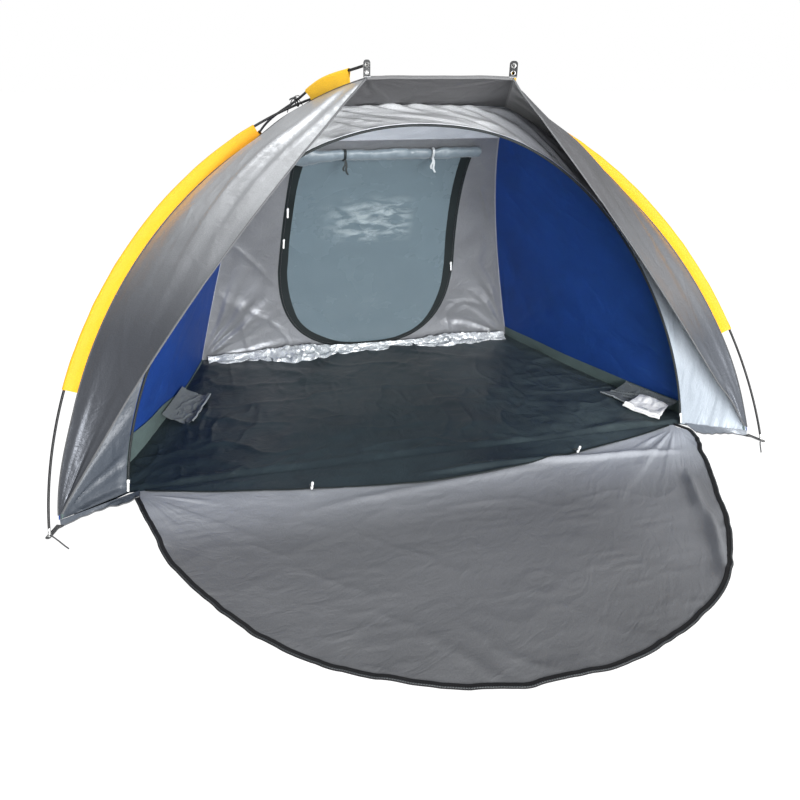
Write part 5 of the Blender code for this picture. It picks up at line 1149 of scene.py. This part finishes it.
def eyelet(name, centre, normal):
    normal = unit(normal)
    first = unit(np.cross(normal, UP if abs(normal[2]) < 0.9 else np.array([1.0, 0.0, 0.0])))
    turn = np.linspace(0.0, 2.0 * math.pi, 29)[:, None]
    out = first * np.cos(turn) + np.cross(normal, first) * np.sin(turn)
    profile = circle(1.0) * np.array([EYE_WIRE * 1.2, EYE_WIRE * 0.95])
    sweep(name, centre + out * (EYE_RING + EYE_WIRE * 1.1), profile, "metal", "webbing", first=out, second=normal,
          caps=False)


def build_tabs_and_straps():
    holes = (0.013, 0.033)
    for name, hand in SIDES:
        facing = unit([-0.42124, -0.90695, 0.0]) * hand
        across = np.array([-facing[1], facing[0], 0.0])
        base = (BRIM + UP * 0.001) * hand
        title = f"brim_tab_{name}"
        holed_plate(f"{title}_webbing", 0.024, 0.046, holes, 0.009, base, across, UP, title)
        for k, at in enumerate(holes):
            eyelet(f"{title}_eyelet_{k + 1}", base + UP * at, facing)
        line = [base + across * x + facing * 0.004 + UP * 0.002 for x in (-0.012, 0.012)]
        sweep(f"{title}_stitching", even(line, 0.004), flat_profile(0.0016, 0.0012), "thread", "webbing")
    for place, width, hole, corner in (("front", 0.016, FOOT_EYE, FOOT), ("rear", 0.025, (0.7926, 1.1093, 0.0), REAR)):
        hole = hole + UP * 0.0055
        away = unit((hole - corner) * (1.0, 1.0, 0.0))
        start = corner * (1.0, 1.0, 0.0) + UP * 0.0055 + away * 0.002
        span = float(np.linalg.norm(hole - start))
        across = np.array([-away[1], away[0], 0.0])
        for name, hand in SIDES:
            title = f"foot_strap_{place}_{name}"
            holed_plate(f"{title}_webbing", width, span + 0.015, (span,), 0.007, start * hand, across * hand,
                        away * hand, title)
            eyelet(f"{title}_eyelet", (hole + UP * 0.0004) * hand, UP)


def build_foot_tails():
    """The loose ends of the cord that ties each front foot to its eyelet."""
    s = np.linspace(0.0, 1.0, 20)[:, None]
    for name, hand in SIDES:
        for k, (out, forward, bend, end) in enumerate(((-0.058, -0.066, 0.010, "bare"),
                                                      (-0.030, 0.052, 0.006, "object"))):
            path = FOOT_EYE + np.array([out, forward, 0.0]) * s
            path = path + np.array([0.4, 0.8, 0.0]) * bend * np.sin(s * math.pi * 1.4)
            path[:, 2] = 0.0034 + 0.0060 * (1 - s[:, 0]) ** 2
            free_cord(f"foot_cord_{name}_{k + 1}", even(path * hand, 0.004), FOOT_CORD_RADIUS)


def bow_paths(centre, spread, along, up):
    """Two loops and two hanging tails of a bow that is tied on top of the crossing."""
    loops, tails = [], []
    turn, s = np.linspace(0.0, 2.0 * math.pi, 34)[:, None], np.linspace(0.0, 1.0, 24)[:, None]
    for sign in (1.0, -1.0):
        reach = 0.034 * (1 - np.cos(turn)) / 2
        rise = 0.0035 - 0.006 * smooth(reach, 0.006, 0.034)
        loops.append(centre + sign * spread * reach + along * 0.011 * np.sin(turn) + up * rise)
        tails.append(centre + along * 0.024 * s * sign - spread * 0.016 * s * sign + up * 0.0035 * (1 - s)
                     - UP * 0.034 * s**1.6)
    return loops, tails


def build_crossing_ties():
    top = side_pole(CROSS_SHARE)
    middle = (CROSS_HOOP + top) / 2
    stack = unit(top - CROSS_HOOP)
    side_way = unit(side_pole(CROSS_SHARE + 0.01) - side_pole(CROSS_SHARE - 0.01))
    bisector = unit(HOOP_WAY + side_way)
    spread = unit(np.cross(stack, bisector))
    turn = np.linspace(0.0, 4.0 * math.pi, 90)[:, None]
    wrap = middle + spread * np.sin(turn) * 0.0086 + stack * np.cos(turn) * 0.0124
    wrap = wrap + bisector * 0.0050 * (turn / (4 * math.pi) - 0.5)
    knot = middle + stack * 0.0150
    lump = knot + spread * np.sin(turn * 1.5) * 0.0026 + bisector * np.cos(turn) * 0.0030
    lump = lump + stack * np.sin(turn) * 0.0014
    for name, hand in SIDES:
        sweep(f"crossing_tie_{name}_cord", wrap * hand, circle(CORD_RADIUS), "cord", "cord",
              nodes=[f"crossing_tie_{name}"])
        sweep(f"crossing_knot_{name}_cord", lump * hand, circle(CORD_RADIUS), "cord", "cord")
        for title, paths, end, lay in zip(("bow", "tail"), bow_paths(knot, spread, bisector, stack),
                                          ("object", "bare"), ("loose", "hanging")):
            for k, path in enumerate(paths):
                free_cord(f"crossing_{title}_{name}_{k + 1}_cord", even(path, 0.003) * hand, CORD_RADIUS)


# ---------------------------------------------------------------- door, apron and toggles

DOOR_WAVES = ((4, 5, 0.030), (27, 9, -0.018), (56, 9, 0.016), (88, 10, -0.008), (128, 14, 0.020), (168, 8, -0.018))
TOGGLES = (("left", -0.4535), ("right", 0.5212))


def corner_fan(x, y, reach, seed):
    """Raised folds that run from a corner of the door across the cloth."""
    far = np.hypot(x, y)
    folds = np.clip(noise(np.arctan2(-y, x) * 9.0, far * 2.0, seed), 0, 1)
    return folds * hump(far, 0.0, reach) * smooth(far, 0.02, 0.2)


def door_grid():
    """The door's cloth on the ground, across from its left end and out from the sill to its round edge."""
    outs = np.sin(np.radians(np.linspace(-86.0, 86.0, 250)))
    share = np.linspace(0.0, 1.0, 130)[None]
    x = (DOOR_X * outs)[:, None] + 0 * share
    reach = (DOOR_REACH * np.maximum(1 - outs**2, 0.0) ** (1 / ARCH_ROUND))[:, None]
    y = -0.0004 - (reach - 0.0004) * share
    turn = np.arctan2(-y, x)
    move = sum(height * hump(np.degrees(turn), at, wide) for at, wide, height in DOOR_WAVES) * share**2
    x = x + np.cos(turn) * move * smooth(-y, 0.0, 0.05)
    y = y - np.sin(turn) * move
    height = 0.0052 * np.clip(fbm(x / 0.30, y / 0.22, 2, 131) + 0.2, 0, 2)
    height += 0.0018 * creases(x / 0.30 + y / 0.3, y / 0.26 - x / 0.4, 137)
    height += 0.0012 * np.clip(noise(x / 0.085, y / 0.017, 143) * noise(x / 0.4, y / 0.3, 144) * 2.0, 0, 1)
    height *= smooth(-y, 0.02, 0.09)
    long_fold = hump(-y - 0.125 - 0.05 * x + 0.02 * line_noise(x / 0.3, 132), 0.0, 0.016)
    height += 0.0130 * long_fold * smooth(x, -0.15, 0.15) * (1 - smooth(x, 0.75, 0.95))
    height += 0.0060 * hump(-y - 0.19 + 0.10 * x, 0.0, 0.020) * smooth(x, -0.6, -0.2) * (1 - smooth(x, 0.2, 0.5))
    height += 0.0085 * corner_fan(0.985 - x, y + 0.02, 0.55, 133) + 0.0065 * corner_fan(x + 0.985, y + 0.02, 0.45, 134)
    line = (x - 0.80) - 0.52 * (y + 0.40) + 0.03 * line_noise(y / 0.12, 135)
    height += 0.0210 * hump(line, 0.0, 0.018) * smooth(-y, 0.28, 0.42) * (1 - smooth(-y, 0.70, 0.92))
    diagonal = np.sin((x + 0.7 * y) / 0.018 + 1.5 * noise(x / 0.1, y / 0.1, 136))
    height += 0.0030 * np.clip(diagonal, 0, 1) * np.exp(-(((x + 0.20) / 0.16) ** 2 + ((y + 0.97) / 0.10) ** 2))
    ripple = np.clip(line_noise(np.degrees(turn) / 4.2, 138), 0, 1)
    height += 0.0060 * ripple * hump((1 - share) * reach, 0.0, 0.05) * smooth(-y, 0.05, 0.2)
    return np.stack([x, y, 0.0010 + height], axis=-1)


def build_door():
    grid = door_grid()
    door = panel("door_panel_cloth", grid, "door", body="door", thickness=0.0010, nodes=["door_panel"])
    edge = even(np.vstack([grid[0, :6:5], grid[:, -1], grid[-1, 5::-5]]), 0.006)
    edge[:, 2] += 0.0012
    outward = unit(np.cross(tangents(edge), UP))
    outward = outward * -np.sign(outward[len(edge) // 2][1])
    wave = 0.0020 * line_noise(np.arange(len(edge)) / 7.0, 139)
    edge = edge + outward * (0.005 + wave)[:, None]
    binding = sweep("door_edge_binding", edge, flat_profile(0.017, 0.0036), "black", "zip_tape", first=outward,
                    second=UP, body="door", nodes=["door_zip_tape"])
    coil = sweep("door_zip_coil", edge + outward * 0.0045 + UP * 0.0012, circle(COIL_RADIUS), "coil", "zip_tape",
                 body="door")
    declare(door, grid, [binding, coil], flat=(2.04, 1.08))
    build_apron(grid)


def build_apron(door):
    """The dark apron on the door along the sill, and the two toggles at its edge."""
    outs = np.linspace(-0.985, 0.985, 240)
    s = np.linspace(0.0, 1.0, 30)[None]
    x = (APRON_X * outs)[:, None] + 0 * s
    y = -0.0004 - APRON_REACH * (np.maximum(1 - np.abs(outs) ** 1.5, 0) ** 0.9)[:, None] * s
    rise = 0.0024 + 0.0030 * np.clip(fbm(x / 0.16, y / 0.07, 2, 141) + 0.2, 0, 1) * smooth(-y, 0.0, 0.03)
    below = [door[np.argmin(np.abs(door[:, 0, 0] - at))] for at in x[:, 0]]
    base = np.array([np.interp(-y[i], -row[:, 1], row[:, 2]) for i, row in enumerate(below)])
    apron = np.stack([x, y, base + rise], axis=-1)
    obj = panel("sill_apron_cloth", apron, "floor", body="door", nodes=["sill_apron"])
    strip = sweep("sill_apron_hem", even(apron[:, -1], 0.008) + (0, 0.003, 0.0012), flat_profile(0.008, 0.0022),
                  "tape", "tarpaulin", first=(0.0, 1.0, 0.0), second=UP, body="door")
    declare(obj, apron, [strip], flat=(1.96, 0.19))
    at = np.linspace(0.0, 1.0, 25)
    swell = 0.62 + 0.38 * np.sin(np.pi * np.clip(at * 1.02, 0, 1)) ** 0.35 - 0.28 * hump(at, 0.5, 0.10)
    swell[0] = swell[-1] = 0.30
    for name, share in TOGGLES:
        foot = np.array([APRON_X * share, -APRON_REACH * (1 - abs(share) ** 1.5) ** 0.9,
                         apron[int(np.argmin(np.abs(outs - share))), -1, 2] + 0.0055])
        path = foot + np.stack([0.003 * at, -0.004 - 0.010 * at, -0.003 + 0.032 * at], axis=-1)
        sweep(f"door_toggle_{name}_plastic", path, circle(0.0048, 18), "plastic", "white_plastic", scale=swell,
              body="door", nodes=[f"door_toggle_{name}"])
        loop = foot + np.array([(0.0, 0.026, -0.004), (0.004, 0.012, 0.002), (0.006, -0.004, 0.011),
                                (0.001, -0.0145, 0.013), (-0.005, -0.004, 0.011), (-0.003, 0.012, 0.002),
                                (0.0, 0.026, -0.004)])
        sweep(f"door_toggle_{name}_strap", even(rounded(loop), 0.003), flat_profile(0.004, 0.0012), "webbing",
              "webbing", body="door")


# ---------------------------------------------------------------- rolled flap, pockets and loop

ROLL_Z, ROLL_RADIUS, ROLL_SQUASH, ROLL_TURNS, ROLL_OUT, ROLL_DROP = 0.968, 0.0300, 0.66, 2.6, 0.0200, 0.002
TIES = (("left", -0.157, "tape"), ("right", 0.195, "pale_tie"))


def build_roll():
    """The window's flap, rolled up along the window's top and held by two ties."""
    facing = wall_facing(np.array([ROLL_Z]))[0]
    up = np.array([0.0, facing[2], -facing[1]])
    point = np.array([0.0, wall_y(ROLL_Z), ROLL_Z])
    x = np.linspace(-0.345, 0.392, 200)[:, None]
    t = np.linspace(0.0, 2 * math.pi * ROLL_TURNS, 90)[None, :]
    left_end = 1 - smooth(x, -0.34, -0.16)
    size = ROLL_RADIUS * (1.0 + 0.36 * left_end + 0.12 * line_noise(x / 0.05, 151))
    for _, tie, _ in TIES:
        size = size * (1.0 - 0.16 * hump(x, tie, 0.012))
    radius = size * (0.42 + 0.58 * t / t[0, -1])
    radius = radius * (1 + 0.10 * noise(t * 1.1, x / 0.035, 155) + 0.05 * noise(t * 0.8, x / 0.014, 152))
    lift = -0.010 * left_end - ROLL_DROP + 0.0042 * noise(x / 0.06, 1 + 0 * x, 153)
    grid = point + facing * (ROLL_OUT + np.cos(t + 0.9) * radius * ROLL_SQUASH)[..., None]
    grid = grid + up * (lift + np.sin(t + 0.9) * radius)[..., None]
    grid[..., 0] = x + 0.004 * noise(t * 0.7, x / 0.03, 154)
    obj = panel("window_flap_roll_cloth", grid, "roll", thickness=0.0008,
                nodes=["window_flap_roll"])
    parts = []
    turn = np.linspace(0.0, 2 * math.pi, 40)[:, None]
    s = np.linspace(0.0, 1.0, 20)[:, None]
    for name, tie, look in TIES:
        centre = point * (0.0, 1.0, 1.0) + facing * ROLL_OUT - up * ROLL_DROP + np.array([tie, 0.0, 0.0])
        ring = centre + facing * np.cos(turn) * 0.0182 + up * np.sin(turn) * 0.0275
        parts.append(sweep(f"flap_tie_{name}_band", ring, flat_profile(0.010, 0.0012), look, "flap_cloth",
                           first=(1.0, 0.0, 0.0), caps=False, nodes=[f"flap_tie_{name}"]))
        for k, (out, reach) in enumerate(((0.010, 0.056), (-0.006, 0.042))):
            tail = centre + facing * (0.0192 + 0.004 * np.sin(s * math.pi)) - UP * reach * s
            tail = tail + np.array([1.0, 0.0, 0.0]) * (out * s + 0.003 * np.sin(s * 7))
            parts.append(sweep(f"flap_tie_{name}_tail_{k + 1}", tail, flat_profile(0.008, 0.0010), look,
                               "flap_cloth", first=(1.0, 0.0, 0.0)))
    declare(obj, grid, parts, flat=(0.716, None))


def build_pockets():
    line = floor_side(np.linspace(0.0, 1.0, 200))
    for (name, hand), low, high, seed in zip(SIDES, (0.440, 0.090), (0.680, 0.310), (161, 171)):
        y, s = np.meshgrid(np.linspace(low, high, 60), np.linspace(0.0, 1.0, 44), indexing="ij")
        height = 0.050 * (1 - s) ** 2.2
        crumple = fbm(y / 0.060, s / 0.42, 3, seed)
        inward = 0.008 + 0.125 * s + 0.006 * crumple * s
        x = np.interp(-y, -line[:, 1], line[:, 0]) - inward - 0.30 * height
        y = y + 0.010 * (s - 0.4) * hand[0]
        lift = 0.0050 + 0.0085 * np.clip(crumple + 0.35, 0, 2) * smooth(s, 0.1, 0.5) + 0.008 * hump(s, 0.97, 0.07)
        lift += 0.0060 * creases(y / 0.07 + s * 0.8, s / 0.3 - y / 0.10, seed + 3) * smooth(s, 0.05, 0.3)
        shaped = np.stack([x, y, height + lift], axis=-1) * hand
        obj = panel(f"pocket_{name}_cloth", shaped, "pocket", thickness=0.0007,
                    nodes=[f"pocket_{name}"])
        rolled = sweep(f"pocket_{name}_hem", even(shaped[:, -1], 0.006), circle(0.0034, 10), "pocket_hem",
                       "pocket_mesh")
        declare(obj, shaped, [rolled])


def build_right_flap():
    """The shiny white flap of the right pocket, turned over towards the doorway."""
    a, b = square(46, 40)
    corners = (((0.985, 0.215, 0.0), (1 - a) * (1 - b)), ((1.035, 0.095, 0.0), a * (1 - b)),
               ((0.880, 0.170, 0.0), (1 - a) * b), ((0.955, 0.035, 0.0), a * b))
    grid = sum(np.array(corner) * share[..., None] for corner, share in corners)
    grid[..., 2] = 0.020 * (1 - b) + 0.014 + 0.010 * np.clip(fbm(a * 3, b * 2.4, 3, 181), -0.3, 1)
    grid[..., 2] += 0.010 * hump(b, 0.90, 0.07)
    obj = panel("pocket_right_flap_cloth", grid, "flap", thickness=0.0008)
    strip = sweep("pocket_right_flap_hem", even(grid[:, -1], 0.005), circle(0.0045, 10), "flap", "pocket_mesh")
    declare(obj, grid, [strip])


def build_floor_loop():
    """The small white loop at the rear right corner of the ground sheet."""
    turn = np.linspace(0.0, 1.0, 40) * 2 * math.pi
    path = np.stack([0.640 + 0.010 * np.cos(turn), 1.010 + 0 * turn, 0.030 + 0.024 * np.sin(turn)], axis=-1)
    sweep("rear_corner_loop", path, flat_profile(0.006, 0.0014), "flap", "webbing", first=(0.0, 1.0, 0.0), caps=False)


# ---------------------------------------------------------------- stage, lights and camera


def ray_share(tree, *rays):
    """1 on some kinds of ray and 0 on the others."""
    path = add_node(tree, "ShaderNodeLightPath")
    share = path.outputs[rays[0]]
    for ray in rays[1:]:
        share = add_node(tree, "ShaderNodeMath", {0: share, 1: path.outputs[ray]}, operation="MAXIMUM").outputs[0]
    return share


def shader(tree, kind, colour, strength=None):
    inputs = {"Color": colour} if strength is None else {"Color": colour, "Strength": strength}
    return add_node(tree, kind, inputs).outputs[0]


def build_stage():
    """A pale floor that takes the tent's shadow, under a plain white backdrop."""
    size, depth, glow_share = 30.0, -0.0012, 0.74
    mesh = bpy.data.meshes.new("ground")
    corners = [(-size, -size, depth), (size, -size, depth), (size, size, depth), (-size, size, depth)]
    mesh.from_pydata(corners, [], [(0, 1, 2, 3)])
    material = bpy.data.materials.new("ground")
    world = bpy.data.worlds.new("studio")
    bpy.context.scene.world = world
    material.use_nodes = world.use_nodes = True
    tree = material.node_tree
    tree.nodes.clear()
    seen = ray_share(tree, "Is Camera Ray", "Is Glossy Ray", "Is Transmission Ray")
    share = add_node(tree, "ShaderNodeMath", {0: seen, 1: glow_share}, operation="MULTIPLY").outputs[0]
    mix = {"Fac": share, 1: shader(tree, "ShaderNodeBsdfDiffuse", (0.90, 0.90, 0.90)),
           2: shader(tree, "ShaderNodeEmission", (1, 1, 1), 1.22)}
    mixed = add_node(tree, "ShaderNodeMixShader", mix).outputs[0]
    add_node(tree, "ShaderNodeOutputMaterial", {"Surface": mixed})
    mesh.materials.append(material)
    linked("ground", mesh)
    tree = world.node_tree
    tree.nodes.clear()
    mix = {"Fac": ray_share(tree, "Is Camera Ray", "Is Transmission Ray"),
           1: shader(tree, "ShaderNodeBackground", (0.97, 0.985, 1.0), 0.48),
           2: shader(tree, "ShaderNodeBackground", (1, 1, 1), 1.0)}
    mixed = add_node(tree, "ShaderNodeMixShader", mix).outputs[0]
    add_node(tree, "ShaderNodeOutputWorld", {"Surface": mixed})


def lamp(name, place, target, size, watts, colour):
    data = bpy.data.lights.new(name, "AREA")
    data.shape = "RECTANGLE"
    data.size, data.size_y = size
    data.energy, data.color = watts, colour
    obj = linked(name, data)
    obj.location = place
    obj.rotation_euler = (Vector(target) - Vector(place)).to_track_quat("-Z", "Y").to_euler()


def build_camera():
    """The photograph's camera: its angles, and its focal length and centre in the photograph's 800 pixels."""
    yaw, pitch, roll = 0.252556, 0.434350, 0.008792
    focal, cx, cy, pixels, sensor = 705.33, 377.07, 386.48, 800.0, 36.0
    ahead = Vector((math.sin(yaw) * math.cos(pitch), math.cos(yaw) * math.cos(pitch), -math.sin(pitch)))
    right = Vector((math.cos(yaw), -math.sin(yaw), 0.0))
    up = right.cross(ahead)
    rolled = math.cos(roll) * right + math.sin(roll) * up, math.cos(roll) * up - math.sin(roll) * right
    matrix = Matrix((*rolled, -ahead)).transposed().to_4x4()
    matrix.translation = Vector((-0.73116, -2.10919, 1.28486))
    data = bpy.data.cameras.new("photo_view")
    data.sensor_width, data.lens = sensor, focal / pixels * sensor
    data.shift_x, data.shift_y = (pixels / 2 - cx) / pixels, (cy - pixels / 2) / pixels
    data.clip_end = 200.0
    camera = linked("photo_view", data)
    camera.matrix_world = matrix
    bpy.context.scene.camera = camera


def paint_kept_nodes():
    """Better materials for the CAD nodes that stay."""
    for name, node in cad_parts.items():
        if not node.hide_render:
            node.data.materials.clear()
            node.data.materials.append(LOOKS["cord" if "shock_cord" in name else "plastic"].material)


for build in (build_camera, build_stage, build_side_walls, build_wings, build_header, build_back, build_top_panels,
              build_floor, build_rear_lip, build_floor_bands, build_skirts, build_sleeves, build_seams, build_poles,
              build_tabs_and_straps, build_foot_tails, build_crossing_ties, build_door, build_roll, build_pockets,
              build_right_flap, build_floor_loop, paint_kept_nodes):
    build()
lamp("front", (1.2, -5.0, 1.65), (0.0, 0.4, 0.5), (2.4, 1.8), 360.0, (1.0, 0.995, 0.98))
lamp("low", (-0.3, -4.6, 0.75), (0.0, 0.6, 0.75), (1.8, 1.0), 110.0, (0.96, 0.98, 1.0))
lamp("top", (-1.3, 0.3, 4.6), (0.0, 0.1, 0.4), (2.6, 2.6), 120.0, (0.98, 0.99, 1.0))
bpy.context.scene.view_settings.view_transform = "Standard"
